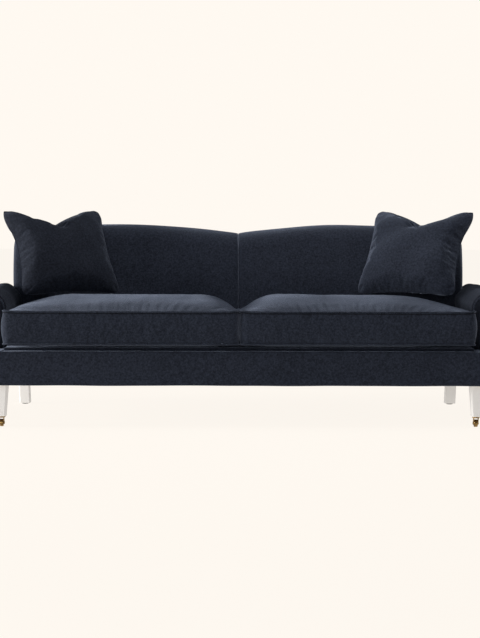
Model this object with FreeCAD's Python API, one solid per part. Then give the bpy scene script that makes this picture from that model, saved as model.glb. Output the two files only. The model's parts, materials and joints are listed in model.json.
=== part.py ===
"""Two-seat sofa with rolled arms set back on the base, a two-hump upholstered back,
two loose boxed seat cushions, two scatter pillows, painted wooden legs and brass front casters.

Frame: the front faces -Y, +Z is up, and left is -X as the sofa is seen from the front. Millimetres.
The origin is on the floor, at the middle of the sofa's width and depth.
A depth, named ..._d, is measured backwards from the front face of the seat cushions.
Pieces are made for the right side (+X), and the left ones are their mirror images.
"""
import FreeCAD, Part
import math
import os

V = FreeCAD.Vector

# ---------------------------------------------------------------- driving dimensions (mm)
seat_width = 1872.0            # between the inner faces of the arms
arm_width = 180.0              # across the roll of one arm
arm_height = 541.0             # floor to the top of the roll
arm_wall = 69.0                # inner to outer face of an arm, under its roll
arm_setback = 126.0            # from the cushion fronts to the front of the arms
arm_rear_set = 3.0             # from the rear of the arms to the outside back, at the rails
roll_upper = 70.0              # roll height above its widest line
roll_lower = 48.0              # roll height below its widest line
arm_facing = 15.0              # thickness of the front panel of an arm
arm_stuffing = 24.0            # padding of the inside arm
back_half_overlap = 47.0       # how far the back passes the inner face of each arm
back_height = 802.0            # floor to the crown of each back hump
hump_drop = 37.0               # valley between the humps, below their crown
back_corner = 75.0             # the back's upper corners
back_bend_z = 430.0            # the inside back is upright below this height
back_rake = 0.3115             # inside back, depth gained per height above the bend
outer_rake = 0.09507           # outside back, depth gained per height above the rails
roll_front_drop = 58.0         # crown of the back to the front end of its rolled top
roll_rear_drop = 68.0          # crown of the back to the rear end of its rolled top
back_skin = 6.0                # outside back panel with its fabric
side_skin = 8.0                # padding over the outer faces of the back posts
crest_cover = 40.0             # padding over the crest rail

cushion_depth = 604.0
cushion_gap = 4.0              # between the two seat cushions
cushion_side_gap = 3.0         # from a cushion to an arm
cushion_seam_z = 328.0         # height of the lower seam
boxing = 134.0                 # height of the cushion border
crown = 55.0                   # how far the cushion top rises above its seam
crown_run = 200.0              # the crown levels off this far from the sides
cushion_corner = 14.0
belly_run = 40.0               # the underside levels off this far from the seam
cushion_cover = 6.0            # cushion cover with its wadding
back_gap = 8.0                 # from the cushions to the inside back

frame_bottom = 174.0
rail_height = 118.0
rail = 32.0                    # thickness of the front and rear rails
side_rail = 38.0
border = 10.0                  # padded fabric on the outside of the rails
border_set = 12.0              # base border behind the cushion fronts
hem = 5.0                      # the border hangs this far below the frame
shelf = 13.5                   # rise of the padded ledge above the front rail
shelf_thick = 6.0
shelf_depth = 32.0             # front of the border to the deck
deck = 17.0                    # padded deck under the cushions
insulator = 2.0
dust_sheet = 1.5
clearance = 0.5

block_size = 90.0              # corner block, along each rail
block_toe = 30.0
block_height = 46.0
screw_r = 2.2
screw_head_r = 4.2
screw_head = 1.8
screw_place = 0.72             # along the block, from the corner
screw_grip = 22.0              # thread in the block, about as long as in the rail
dowel_r = 4.0
dowel_length = 50.0
dowel_shift = 4.0              # deeper in the side rail than in the cross rail
stretcher_height = 60.0
stretcher_place = 0.36         # of half the seat width

back_room = 188.0              # inside back face to the rear rail
post_gap = 135.0               # inside back face to the front of the posts, at the rails
post_rake = 0.122
post_thick = 34.0
crest_bottom_drop = 118.0      # crown of the back to the underside of the crest rail
tuck_rail_z = 340.0
tuck_rail = 60.0
tuck_rail_thick = 28.0
arm_board = 26.0               # thickness of the arm's top rail
board_drop = 10.0              # its top, below the roll's widest line
arm_board_inset = 16.0         # inner face of the arm to the board
arm_board_width = 116.0
arm_post_depth = 60.0

leg_top = 56.0
leg_foot = 38.0
front_leg_inset = 48.0         # leg centre, inside the side rail's outer face
front_leg_set = 40.0            # front leg centre behind the front rail's front face
rear_leg = 46.0
rear_leg_inset = 46.0
rear_leg_set = 10.0            # rear leg centre in front of the rear rail's front face
rear_leg_rake = 48.0           # how far the foot stands behind the top
bolt_r = 4.0
bolt_in_leg = 40.0
nut_r = 6.0
nut_depth = 10.0
nut_flange_r = 11.0
nut_flange = 1.5
glide_r = 14.0
glide = 4.0
glide_pin_r = 1.5
glide_pin = 14.0

wheel_top_gap = 7.1            # from the wheel up to the fork's plate
wheel_r = 15.0
wheel_width = 14.0
wheel_edge = 2.0
wheel_side_gap = 0.6
axle_r = 2.5
axle_head_r = 4.5
axle_head = 1.2
axle_clearance = 0.06
trail = 8.0                    # wheel centre behind the swivel axis
fork_plate = 3.0
fork_plate_r = 14.0
fork_eye_r = 6.5
fork_gap = 0.4                 # under the socket's flange
stem_r = 4.0
stem_length = 34.0
stem_clearance = 0.06
socket_wall = 1.5
socket_flange = 2.5
socket_flange_r = 17.0

spring_count = 10
spring_wire = 1.9              # radius
spring_half = 24.0             # half the width of a spring
spring_pitch = 34.0            # wanted distance between its rungs
spring_margin = 81.0           # outer springs from the arms
clip = 18.0                    # along the spring
clip_width = 10.0
clip_height = 6.4
tie_wire = 1.6                 # radius
tie_count = 2
web_count = 8
web_width = 50.0
web = 2.0

pillow = 424.0
pillow_thickness = 150.0
pillow_edge = 8.0              # thickness at the seam
pillow_lean = 33.0             # degrees back from upright
pillow_turn = 27.0             # degrees towards the middle of the sofa
pillow_side_gap = 42.0         # from the pillow's lower corner to the arm's inner face
pillow_top_gap = 24.5          # from the pillow's rear edge to the shoulder of the back
pillow_sink = 2.0              # lower seam of a pillow, below the crown of the cushion
pillow_cover = 4.0

zip_length = 600.0
zip_tape = 24.0
zip_tape_thick = 1.2
zip_chain = 5.0
zip_chain_thick = 1.5
slider_length = 14.0
slider_height = 10.0
slider_shell = 1.2
slider_clearance = 0.3
slider_tab = 20.0              # drop of the pull below the teeth
slider_tab_width = 6.0

# ---------------------------------------------------------------- places worked out from them
seat_half = seat_width / 2
half_width = seat_half + arm_width
base_half = seat_half + arm_wall
rail_half = base_half - border
rail_in = rail_half - side_rail
back_half = seat_half + back_half_overlap
rail_top = frame_bottom + rail_height
base_top = rail_top + shelf
base_foot = frame_bottom - hem
front_rail_d = border_set + border
front_rail_back = front_rail_d + rail
inside_back_d = cushion_depth + back_gap
post_front_d = inside_back_d + post_gap
rear_rail_d = inside_back_d + back_room
rear_face_d = rear_rail_d + rail + back_skin
roll_x = seat_half + arm_width / 2
roll_z = arm_height - roll_upper
arm_front_d = arm_setback + arm_facing
insulator_z = rail_top + 2 * spring_wire + 2 * tie_wire
deck_z = insulator_z + insulator
deck_top = deck_z + deck
deck_d = border_set + shelf_depth
spring_z = rail_top + spring_wire
hump_radius = ((back_half / 2) ** 2 + hump_drop ** 2) / (2 * hump_drop)
crest_z = back_height - crest_bottom_drop
post_x = back_half - side_skin
caster_height = 2 * wheel_r + wheel_top_gap + fork_plate + fork_gap + socket_flange
front_leg_d = front_rail_d + front_leg_set
board_z = roll_z - board_drop - arm_board
cushion_z = deck_top + clearance
seam_top_z = cushion_seam_z + boxing
cushion_x0 = cushion_gap / 2
cushion_x1 = seat_half - cushion_side_gap
front_leg_x = rail_half - front_leg_inset
rear_leg_x = rail_half - rear_leg_inset
rear_leg_d = rear_rail_d - rear_leg_set
pillow_z = seam_top_z + crown - pillow_sink
pillow_x = seat_half - pillow_side_gap - pillow / 2 * math.cos(math.radians(pillow_turn))


def inner_d(z):
    """Depth of the inside back's face at height z."""
    return inside_back_d + max(0.0, z - back_bend_z) * back_rake


def outer_d(z):
    """Depth of the outside back's face at height z."""
    return rear_face_d + max(0.0, z - rail_top) * outer_rake


def post_d(z):
    """Depth of the front edge of the back posts at height z."""
    return post_front_d + (z - rail_top) * post_rake


def pillow_d():
    """Depth of the middle of a pillow's lower seam, where its rear edge just clears the back."""
    lean, turn = math.radians(pillow_lean), math.radians(pillow_turn)
    shoulder = back_height - roll_front_drop
    edge_run = (shoulder - pillow_z) * math.tan(lean) * math.cos(turn)
    return inner_d(shoulder) - pillow_top_gap - pillow / 2 * math.sin(turn) - edge_run


total_depth = outer_d(back_height - roll_rear_drop)
arm_rear_d = rear_face_d - arm_rear_set
above = back_height + 100.0


def at(d):
    """Y of a point that is d behind the cushion fronts."""
    return d - total_depth / 2


def hump_z(x, drop=0.0):
    """Height of the back's crown line at x, less a drop."""
    off = abs(x) - back_half / 2
    return back_height - drop - hump_radius + math.sqrt(hump_radius ** 2 - off ** 2)


# ---------------------------------------------------------------- shape helpers
def block(x0, x1, d0, d1, z0, z1):
    return Part.makeBox(x1 - x0, d1 - d0, z1 - z0, V(x0, at(d0), z0))


def mirrored(shape):
    return shape.mirror(V(0, 0, 0), V(1, 0, 0))


def both(*shapes):
    """Shapes of the right side with their mirror images, as one group of solids."""
    solids = [solid for shape in shapes for solid in shape.Solids]
    return Part.makeCompound(solids + [mirrored(solid) for solid in solids])


def side_prism(points, x0, x1):
    """A polygon of (depth, height) points, from x0 to x1."""
    wire = Part.makePolygon([V(x0, at(d), z) for d, z in points + points[:1]])
    return Part.Face(wire).extrude(V(x1 - x0, 0, 0))


def plan_prism(points, z0, z1):
    """A polygon of (x, depth) points, from z0 to z1."""
    wire = Part.makePolygon([V(x, at(d), z0) for x, d in points + points[:1]])
    return Part.Face(wire).extrude(V(0, 0, z1 - z0))


def upright(r, x, d, z0, z1):
    return Part.makeCylinder(r, z1 - z0, V(x, at(d), z0))


def line(a, b):
    return Part.LineSegment(a, b).toShape()


def arc(a, b, c):
    return Part.Arc(a, b, c).toShape()


def solid_from(edges, way):
    """The closed outline made by the edges, extruded by a vector."""
    return Part.Face(Part.Wire(edges)).extrude(way)


def tube_along(edges, r):
    """A round tube along a path, its section at the path's first point."""
    wire = Part.Wire(edges)
    first = edges[0]
    start = first.valueAt(first.FirstParameter)
    way = first.tangentAt(first.FirstParameter)
    section = Part.Wire(Part.Circle(start, way, r).toShape())
    return wire.makePipeShell([section], True, False)


# ---------------------------------------------------------------- wooden seat frame
def rail_dowels():
    """Dowels that join a side rail to the front and rear rails, two at each end."""
    x = rail_half - side_rail / 2
    into = dowel_length / 2
    found = []
    for d in (front_rail_back - into + dowel_shift, rear_rail_d - into - dowel_shift):
        for z in (frame_bottom + rail_height * 0.25, frame_bottom + rail_height * 0.75):
            found.append(Part.makeCylinder(dowel_r, dowel_length, V(x, at(d), z), V(0, 1, 0)))
    return both(*found)


def cross_rail(d):
    box = block(-rail_half, rail_half, d, d + rail, frame_bottom, rail_top)
    return box.cut([rail_dowels(), corner_screws()])


def side_seat_rail():
    box = block(rail_in, rail_half, front_rail_back, rear_rail_d, frame_bottom, rail_top)
    return box.cut([rail_dowels(), corner_screws()])


def seat_stretchers():
    x = seat_half * stretcher_place
    return both(block(x - rail / 2, x + rail / 2, front_rail_back, rear_rail_d,
                      frame_bottom, frame_bottom + stretcher_height))


def corner(front):
    """The depth of a frame corner's inside, the way into the frame, and the leg's place there."""
    if front:
        return front_rail_back, 1, (front_leg_x, front_leg_d)
    return rear_rail_d, -1, (rear_leg_x, rear_leg_d)


def corner_screw_pair(front):
    """The two screws of a corner block: one into the side rail, one into the cross rail."""
    d, way, _ = corner(front)
    z = frame_bottom + block_height / 2
    side = block_size * screw_place
    found = []
    for start, along in ((V(rail_in - screw_grip, at(d + way * side), z), V(1, 0, 0)),
                         (V(rail_in - side, at(d + way * screw_grip), z), V(0, -way, 0))):
        shank = Part.makeCylinder(screw_r, 2 * screw_grip, start, along)
        head = Part.makeCylinder(screw_head_r, screw_head, start - along * screw_head, along)
        found.append(shank.fuse(head).removeSplitter())
    return found


def corner_screws():
    return both(*corner_screw_pair(True), *corner_screw_pair(False))


def leg_bolt(front):
    """A bolt up through the leg's top into the nut in the corner block."""
    _, _, (x, d) = corner(front)
    return upright(bolt_r, x, d, frame_bottom - bolt_in_leg, frame_bottom + block_height)


def leg_nut(front):
    _, _, (x, d) = corner(front)
    top = frame_bottom + block_height
    barrel = upright(nut_r, x, d, top - nut_depth, top)
    flange = upright(nut_flange_r, x, d, top, top + nut_flange)
    flange = flange.common(block(x - nut_flange_r, min(rail_in, x + nut_flange_r),
                                      max(front_rail_back, d - nut_flange_r),
                                      min(rear_rail_d, d + nut_flange_r), top, top + nut_flange))
    return barrel.fuse(flange).cut(upright(bolt_r, x, d, frame_bottom, top + 1)).removeSplitter()


def corner_block(front):
    """A glue block in a corner of the frame, bored for the leg bolt, its nut and the screws."""
    d, way, _ = corner(front)
    plan = [(0, 0), (block_size, 0), (block_size, block_toe), (block_toe, block_size), (0, block_size)]
    body = plan_prism([(rail_in - a, d + way * b) for a, b in plan],
                      frame_bottom, frame_bottom + block_height)
    return body.cut([leg_bolt(front), leg_nut(front)] + corner_screw_pair(front))


# ---------------------------------------------------------------- back
def hump_body(drop, half, turn, foot):
    """The back seen from the front: two humps with rounded upper corners, the full depth."""
    crest = V(back_half / 2, at(0), hump_z(back_half / 2, drop))
    last = V(half - turn, at(0), hump_z(half - turn, drop))
    side_top = V(half, at(0), hump_z(half, drop) - turn)
    short = turn * (1 - math.sqrt(0.5))
    bulge = V(half - short, at(0), hump_z(half, drop) - short)
    valley = V(0, at(0), hump_z(0, drop))
    base = V(0, at(0), foot)
    side_foot = V(half, at(0), foot)
    edges = [arc(valley, crest, last), arc(last, bulge, side_top), line(side_top, side_foot),
             line(side_foot, base), line(base, valley)]
    right = solid_from(edges, V(0, 2 * total_depth, 0))
    return right.fuse(mirrored(right)).removeSplitter()


def back_volume():
    """The upholstered back: upright then raked inside, raked outside, with a rolled top."""
    foot = deck_top + clearance
    front = V(-half_width, at(inner_d(back_height - roll_front_drop)), back_height - roll_front_drop)
    rear = V(-half_width, at(total_depth), back_height - roll_rear_drop)
    top = V(-half_width, (front.y + rear.y) / 2, back_height)
    low = V(-half_width, at(inside_back_d), foot)
    bend = V(-half_width, at(inside_back_d), back_bend_z)
    heel = V(-half_width, at(outer_d(foot)), foot)
    edges = [line(low, bend), line(bend, front), arc(front, top, rear), line(rear, heel), line(heel, low)]
    side = solid_from(edges, V(2 * half_width, 0, 0))
    return side.common(hump_body(0.0, back_half, back_corner, foot))


def back_core():
    """The room inside the back for its posts, rails and webbing."""
    z0, z1 = rail_top, above
    side = side_prism([(post_d(z0), z0), (outer_d(z0) - back_skin, z0),
                       (outer_d(z1) - back_skin, z1), (post_d(z1), z1)], -half_width, half_width)
    return side.common(hump_body(crest_cover, post_x, back_corner - side_skin, z0))


def back_post():
    return back_core().common(block(post_x - post_thick, post_x, 0, 2 * total_depth, rail_top, crest_z))


def back_centre_post():
    return back_core().common(block(-post_thick / 2, post_thick / 2, 0, 2 * total_depth, rail_top, crest_z))


def crest_rail():
    return back_core().common(block(-half_width, half_width, 0, 2 * total_depth, crest_z, above))


def tuck_rails():
    """Low rails between the back posts, where the inside back's fabric is pulled through."""
    z0, z1 = tuck_rail_z, tuck_rail_z + tuck_rail
    outline = [(post_d(z0), z0), (post_d(z0) + tuck_rail_thick, z0),
               (post_d(z1) + tuck_rail_thick, z1), (post_d(z1), z1)]
    return both(side_prism(outline, post_thick / 2, post_x - post_thick))


def back_webbing():
    """Straps from the tuck rails up to the crest rail, in front of the posts."""
    z0, z1 = tuck_rail_z, crest_z + web_width * 0.6
    outline = [(post_d(z0) - web, z0), (post_d(z0), z0), (post_d(z1), z1), (post_d(z1) - web, z1)]
    run = post_x - post_thick
    step = run / (web_count / 2)
    straps = []
    for i in range(web_count // 2):
        middle = step * (i + 0.5)
        straps.append(side_prism(outline, middle - web_width / 2, middle + web_width / 2))
    return both(*straps)


def outside_back_panel():
    """The outside back with its fabric, wider below, where it covers the rear rail."""
    z1 = back_height - roll_rear_drop
    slab = side_prism([(outer_d(rail_top) - back_skin, rail_top), (outer_d(rail_top), rail_top),
                       (outer_d(z1), z1), (outer_d(z1) - back_skin, z1)], -half_width, half_width)
    upper = slab.common(hump_body(0.0, back_half, back_corner, rail_top))
    lower = block(-base_half, base_half, rear_face_d - back_skin, rear_face_d, base_foot, rail_top)
    return upper.fuse(lower).removeSplitter()


def back_pad():
    """The right half of the inside back's springs and padding, with the rolled top."""
    half = block(0, half_width, 0, 2 * total_depth, 0, above)
    body = back_volume().common(half)
    return body.cut([back_core(), back_webbing(), outside_back_panel(), arm_top_rail()])


# ---------------------------------------------------------------- arms
def arm_outline(d, foot, grow=0.0):
    """One arm seen from the front, at depth d, as a list of edges."""
    y = at(d)
    a, b = arm_width / 2 - grow, roll_upper - grow
    over = Part.Ellipse(V(roll_x + a, y, roll_z), V(roll_x, y, roll_z + b), V(roll_x, y, roll_z))
    under_a, under_b = half_width - base_half, roll_lower - grow
    under = Part.Ellipse(V(base_half + under_a - grow, y, roll_z), V(base_half, y, roll_z - under_b),
                         V(base_half, y, roll_z))
    inner = V(roll_x - a, y, roll_z)
    inner_foot = V(roll_x - a, y, foot)
    outer_foot = V(base_half, y, foot)
    outer_top = V(base_half, y, roll_z - under_b)
    return [Part.ArcOfEllipse(over, 0, math.pi).toShape(), line(inner, inner_foot),
            line(inner_foot, outer_foot), line(outer_foot, outer_top),
            Part.ArcOfEllipse(under, 0, math.pi / 2).toShape()]


def arm_volume():
    return solid_from(arm_outline(arm_front_d, rail_top), V(0, arm_rear_d - arm_front_d, 0))


def arm_front_panel():
    return solid_from(arm_outline(arm_setback, base_top), V(0, arm_facing, 0))


def arm_top_rail():
    """The board under the roll, from the arm's front to the back post."""
    z0, z1 = board_z, board_z + arm_board
    x0 = seat_half + arm_board_inset
    wide = block(x0, x0 + arm_board_width, arm_front_d, arm_rear_d - arm_stuffing, z0, z1)
    return wide.cut(block(x0, post_x, post_d(z0), total_depth, z0 - 1, z1 + 1).common(back_core_box()))


def back_core_box():
    return block(0, back_half, post_front_d, total_depth, rail_top, above)


def arm_front_post():
    x0 = seat_half + arm_stuffing
    return block(x0, rail_half - clearance, arm_front_d, arm_front_d + arm_post_depth,
                 rail_top, board_z)


def outside_arm_panel():
    """The outside arm, which runs down over the side rail to the hem."""
    outline = [(front_rail_d, base_foot), (front_rail_d, rail_top), (arm_front_d, rail_top),
               (arm_front_d, roll_z - roll_lower), (arm_rear_d, roll_z - roll_lower),
               (arm_rear_d, rail_top), (rear_face_d - back_skin, rail_top),
               (rear_face_d - back_skin, base_foot)]
    return side_prism(outline, rail_half, base_half)


def arm_pad():
    """The inside arm and its roll, stuffed over the board and hollow beside the post."""
    hollow = block(seat_half + arm_stuffing, rail_half, arm_front_d, inside_back_d - arm_stuffing,
                   rail_top, board_z)
    under_back = block(0, back_half, inside_back_d, total_depth, 0, deck_top + clearance)
    body = arm_volume().cut([hollow, under_back, back_volume(), arm_top_rail(), outside_arm_panel()])
    return max(body.Solids, key=lambda solid: solid.Volume)


# ---------------------------------------------------------------- springs and deck
def spring_line(x):
    """One sinuous spring: rungs across, joined by half turns, from clip to clip."""
    start = front_rail_d + rail / 2
    span = rear_rail_d + rail / 2 - start
    rungs = round(span / spring_pitch)
    step = span / rungs
    reach = spring_half - step / 2
    edges = []
    for i in range(rungs + 1):
        side = 1 if i % 2 == 0 else -1
        y = at(start + i * step)
        a = V(x - side * reach, y, spring_z)
        b = V(x + side * reach, y, spring_z)
        edges.append(line(a, b))
        if i < rungs:
            c = V(b.x, y + step, spring_z)
            edges.append(arc(b, V(b.x + side * step / 2, y + step / 2, spring_z), c))
    return edges


def spring_places():
    run = 2 * (seat_half - spring_margin)
    return [-run / 2 + run * i / (spring_count - 1) for i in range(spring_count)]


def seat_springs():
    return Part.makeCompound([tube_along(spring_line(x), spring_wire) for x in spring_places()])


def spring_clips():
    """Folded steel clips that hold the ends of the springs on the rails."""
    found = []
    for x in spring_places():
        for d in (front_rail_d + rail / 2, rear_rail_d + rail / 2):
            half = clip_width / 2
            body = block(x - half, x + half, d - clip / 2, d + clip / 2, rail_top, rail_top + clip_height)
            start = V(x - clip_width, at(d), spring_z)
            wire = Part.makeCylinder(spring_wire, 2 * clip_width, start, V(1, 0, 0))
            slot = block(x - clip_width, x + clip_width, d - spring_wire, d + spring_wire,
                         rail_top - 1, spring_z)
            found.append(body.cut([wire, slot]))
    return Part.makeCompound(found)


def spring_tie_wires():
    """Wires across all the springs, resting on them."""
    reach = seat_half - spring_margin + spring_half
    span = rear_rail_d - front_rail_back
    rods = []
    for i in range(tie_count):
        d = front_rail_back + span * (i + 1) / (tie_count + 1)
        start = V(-reach, at(d), rail_top + 2 * spring_wire + tie_wire)
        rods.append(Part.makeCylinder(tie_wire, 2 * reach, start, V(1, 0, 0)))
    return Part.makeCompound(rods)


def deck_sheet(z0, z1):
    reach = seat_half - clearance
    return block(-reach, reach, deck_d, post_front_d - 2 * web, z0, z1)


def front_border():
    """The padded border of the front rail, its ledge, and the ledges in front of the arms."""
    face = block(-base_half, base_half, border_set, front_rail_d, base_foot, base_top)
    ledge = block(-seat_half, seat_half, front_rail_d, deck_d, base_top - shelf_thick, base_top)
    ends = both(block(seat_half, base_half, front_rail_d, arm_front_d, rail_top, base_top))
    return face.fuse([ledge] + ends.Solids).removeSplitter()


def dust_cover():
    """A thin cloth under the frame, cut round the legs."""
    reach = rail_half - clearance
    sheet = block(-reach, reach, front_rail_d + clearance, rear_rail_d + rail - clearance,
                  frame_bottom - dust_sheet, frame_bottom)
    legs = []
    for front, size in ((True, leg_top), (False, rear_leg)):
        _, _, (x, d) = corner(front)
        half = size / 2 + clearance
        legs.append(block(x - half, x + half, d - half, d + half + clearance, 0, frame_bottom + 1))
    return sheet.cut(both(*legs))


# ---------------------------------------------------------------- seat cushions
def sagged(half, rise, off):
    """How far an arc over a half span, with its top at 0, has dropped at an offset from its middle."""
    radius = (half ** 2 + rise ** 2) / (2 * rise)
    return radius - math.sqrt(radius ** 2 - off ** 2)


def cushion_section(a0, a1, heights, level, place, way):
    """A section of a cushion between a0 and a1, level for a stretch at its top, extruded.

    The section is drawn past a0 and a1, so that the plan alone sets the cushion's sides.
    """
    seam, low, bottom, top = heights
    out = belly_run / 2
    foot = low + (low - bottom) * out / belly_run
    half = (a1 - a0 - level) / 2
    ends = top - sagged(half, top - seam, half + out)
    middle = top - sagged(half, top - seam, (half + out) / 2)
    edges = [line(place(a0 - out, ends), place(a0 - out, foot)),
             line(place(a0 - out, foot), place(a0 + belly_run, bottom)),
             line(place(a0 + belly_run, bottom), place(a1 - belly_run, bottom)),
             line(place(a1 - belly_run, bottom), place(a1 + out, foot)),
             line(place(a1 + out, foot), place(a1 + out, ends))]
    edges.append(arc(place(a1 + out, ends), place(a1 - half + (half + out) / 2, middle),
                     place(a1 - half, top)))
    if level:
        edges.append(line(place(a1 - half, top), place(a0 + half, top)))
    edges.append(arc(place(a0 + half, top), place(a0 + half - (half + out) / 2, middle),
                     place(a0 - out, ends)))
    return solid_from(edges, way)


def cushion_body(inset):
    """A boxed cushion with a crowned top and a shallow belly, made smaller by an inset."""
    x0, x1 = cushion_x0 + inset, cushion_x1 - inset
    d0, d1 = inset, cushion_depth - inset
    heights = (seam_top_z - inset / 2, cushion_seam_z + inset / 2,
               cushion_z + inset, seam_top_z + crown - inset)
    past = 2 * belly_run
    across = cushion_section(d0, d1, heights, 0.0, lambda d, z: V(x0 - past, at(d), z),
                             V(x1 - x0 + 2 * past, 0, 0))
    along = cushion_section(x0, x1, heights, x1 - x0 - 2 * crown_run, lambda x, z: V(x, at(d0 - past), z),
                            V(0, d1 - d0 + 2 * past, 0))
    plan = Part.makeBox(x1 - x0, d1 - d0, above, V(x0, at(d0), 0))
    uprights = [edge for edge in plan.Edges if abs(edge.tangentAt(edge.FirstParameter).z) > 0.5]
    return plan.makeFillet(cushion_corner - inset / 2, uprights).common(across).common(along)


def seat_cushion():
    return cushion_body(0.0).cut(cushion_body(cushion_cover))


def seat_core():
    return cushion_body(cushion_cover)


def zip_middle():
    return (cushion_x0 + cushion_x1) / 2, cushion_seam_z + boxing / 2


def seat_zip():
    """Zip in the cushion's rear border: a tape with its chain of teeth."""
    x, z = zip_middle()
    half = zip_length / 2
    tape = block(x - half, x + half, cushion_depth, cushion_depth + zip_tape_thick,
                 z - zip_tape / 2, z + zip_tape / 2)
    face = cushion_depth + zip_tape_thick
    chain = block(x - half, x + half, face, face + zip_chain_thick, z - zip_chain / 2, z + zip_chain / 2)
    return tape.fuse(chain).removeSplitter()


def seat_zip_slider():
    """The zip's slider: a saddle over the teeth with a flat pull, at the closed end."""
    x, z = zip_middle()
    x0 = x - zip_length / 2 + slider_clearance
    face = cushion_depth + zip_tape_thick + slider_clearance
    over = cushion_depth + zip_tape_thick + zip_chain_thick + slider_clearance
    shell = block(x0, x0 + slider_length, face, over + slider_shell,
                  z - slider_height / 2, z + slider_height / 2)
    half = zip_chain / 2 + slider_clearance
    channel = block(x0 - 1, x0 + slider_length + 1, face - 1, over, z - half, z + half)
    tab_x = x0 + (slider_length - slider_tab_width) / 2
    tab = block(tab_x, tab_x + slider_tab_width, over + slider_shell, over + 2 * slider_shell,
                z - slider_tab, z + slider_height / 4)
    return shell.cut(channel).fuse(tab).removeSplitter()


# ---------------------------------------------------------------- scatter pillows
def pillow_body(inset):
    """A square pillow, thick in the middle and thin at its seams, leaning in its corner."""
    half = pillow / 2 - inset
    edge = pillow_edge / 2 - inset / 4
    swell = pillow_thickness / 2 - inset
    lens = [arc(V(-half, edge, -half), V(0, swell, -half), V(half, edge, -half)),
            line(V(half, edge, -half), V(half, -edge, -half)),
            arc(V(half, -edge, -half), V(0, -swell, -half), V(-half, -edge, -half)),
            line(V(-half, -edge, -half), V(-half, edge, -half))]
    across = solid_from(lens, V(0, 0, 2 * half))
    turned = across.copy()
    turned.rotate(V(0, 0, 0), V(0, 1, 0), 90)
    body = across.common(turned)
    body.translate(V(0, 0, pillow / 2))
    body.rotate(V(0, 0, 0), V(1, 0, 0), -pillow_lean)
    body.rotate(V(0, 0, 0), V(0, 0, 1), -pillow_turn)
    body.translate(V(pillow_x, at(pillow_d()), pillow_z))
    return body


def throw_pillow():
    return pillow_body(0.0).cut(pillow_body(pillow_cover))


def pillow_insert():
    return pillow_body(pillow_cover)


# ---------------------------------------------------------------- legs
def square_loft(x, d, z0, half0, z1, half1, shift=0.0):
    """A four-sided leg from a lower to an upper square; the lower one is shifted back."""
    wires = []
    for z, half, move in ((z0, half0, shift), (z1, half1, 0.0)):
        points = [V(x + i * half, at(d + move) + j * half, z)
                  for i, j in ((-1, -1), (1, -1), (1, 1), (-1, 1), (-1, -1))]
        wires.append(Part.makePolygon(points))
    return Part.makeLoft(wires, True, True)


def front_leg():
    leg = square_loft(front_leg_x, front_leg_d, caster_height, leg_foot / 2, frame_bottom, leg_top / 2)
    return leg.cut([leg_bolt(True), socket_room()])


def rear_leg_piece():
    leg = square_loft(rear_leg_x, rear_leg_d, glide, rear_leg / 2, frame_bottom, rear_leg / 2, rear_leg_rake)
    return leg.cut([leg_bolt(False), rear_leg_glide()])


def rear_leg_glide():
    """A nail-on glide under a rear leg."""
    d = rear_leg_d + rear_leg_rake
    disc = upright(glide_r, rear_leg_x, d, 0, glide)
    pin = upright(glide_pin_r, rear_leg_x, d, glide, glide + glide_pin)
    return disc.fuse(pin).removeSplitter()


# ---------------------------------------------------------------- casters
fork_top = caster_height - socket_flange - fork_gap
axle_d = front_leg_d + trail
cheek_in = wheel_width / 2 + wheel_side_gap


def socket_room():
    """The round hole in a front leg that a caster's sleeve fills."""
    return upright(stem_r + stem_clearance + socket_wall, front_leg_x, front_leg_d,
                   caster_height, caster_height + stem_length)


def caster_socket():
    """The sleeve in a front leg that takes the caster's stem, with a flange under the leg."""
    x, d = front_leg_x, front_leg_d
    flange = upright(socket_flange_r, x, d, caster_height - socket_flange, caster_height)
    hole = upright(stem_r + stem_clearance, x, d, 0, caster_height + stem_length - socket_wall)
    return socket_room().fuse(flange).cut(hole).removeSplitter()


def caster_fork():
    """The swivel fork: stem, round plate and two cheeks down to the axle."""
    x, d = front_leg_x, front_leg_d
    stem_top = caster_height + stem_length - socket_wall - 1.0
    body = upright(stem_r, x, d, fork_top - fork_plate, stem_top)
    plate = upright(fork_plate_r, x, d, fork_top - fork_plate, fork_top)
    cheeks = []
    for x0 in (x - cheek_in - fork_plate, x + cheek_in):
        outline = [(d - fork_eye_r, fork_top - fork_plate / 2), (d + fork_eye_r, fork_top - fork_plate / 2),
                   (axle_d + fork_eye_r, wheel_r), (axle_d - fork_eye_r, wheel_r)]
        eye = Part.makeCylinder(fork_eye_r, fork_plate, V(x0, at(axle_d), wheel_r), V(1, 0, 0))
        cheeks += [side_prism(outline, x0, x0 + fork_plate), eye]
    body = body.fuse([plate] + cheeks).removeSplitter()
    bore = Part.makeCylinder(axle_r, 100, V(x - 50, at(axle_d), wheel_r), V(1, 0, 0))
    return body.cut(bore)


def caster_axle():
    """A riveted pin through the fork's cheeks."""
    reach = cheek_in + fork_plate
    start = V(front_leg_x - reach - axle_head, at(axle_d), wheel_r)
    pin = Part.makeCylinder(axle_r, 2 * (reach + axle_head), start, V(1, 0, 0))
    heads = [Part.makeCylinder(axle_head_r, axle_head, start, V(1, 0, 0)),
             Part.makeCylinder(axle_head_r, axle_head, start + V(2 * reach + axle_head, 0, 0), V(1, 0, 0))]
    return pin.fuse(heads).removeSplitter()


def caster_wheel():
    start = V(front_leg_x - wheel_width / 2, at(axle_d), wheel_r)
    disc = Part.makeCylinder(wheel_r, wheel_width, start, V(1, 0, 0))
    rims = [edge for edge in disc.Edges if isinstance(edge.Curve, Part.Circle)]
    disc = disc.makeFillet(wheel_edge, rims)
    return disc.cut(Part.makeCylinder(axle_r + axle_clearance, 2 * wheel_width,
                                      start - V(wheel_width / 2, 0, 0), V(1, 0, 0)))


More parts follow.
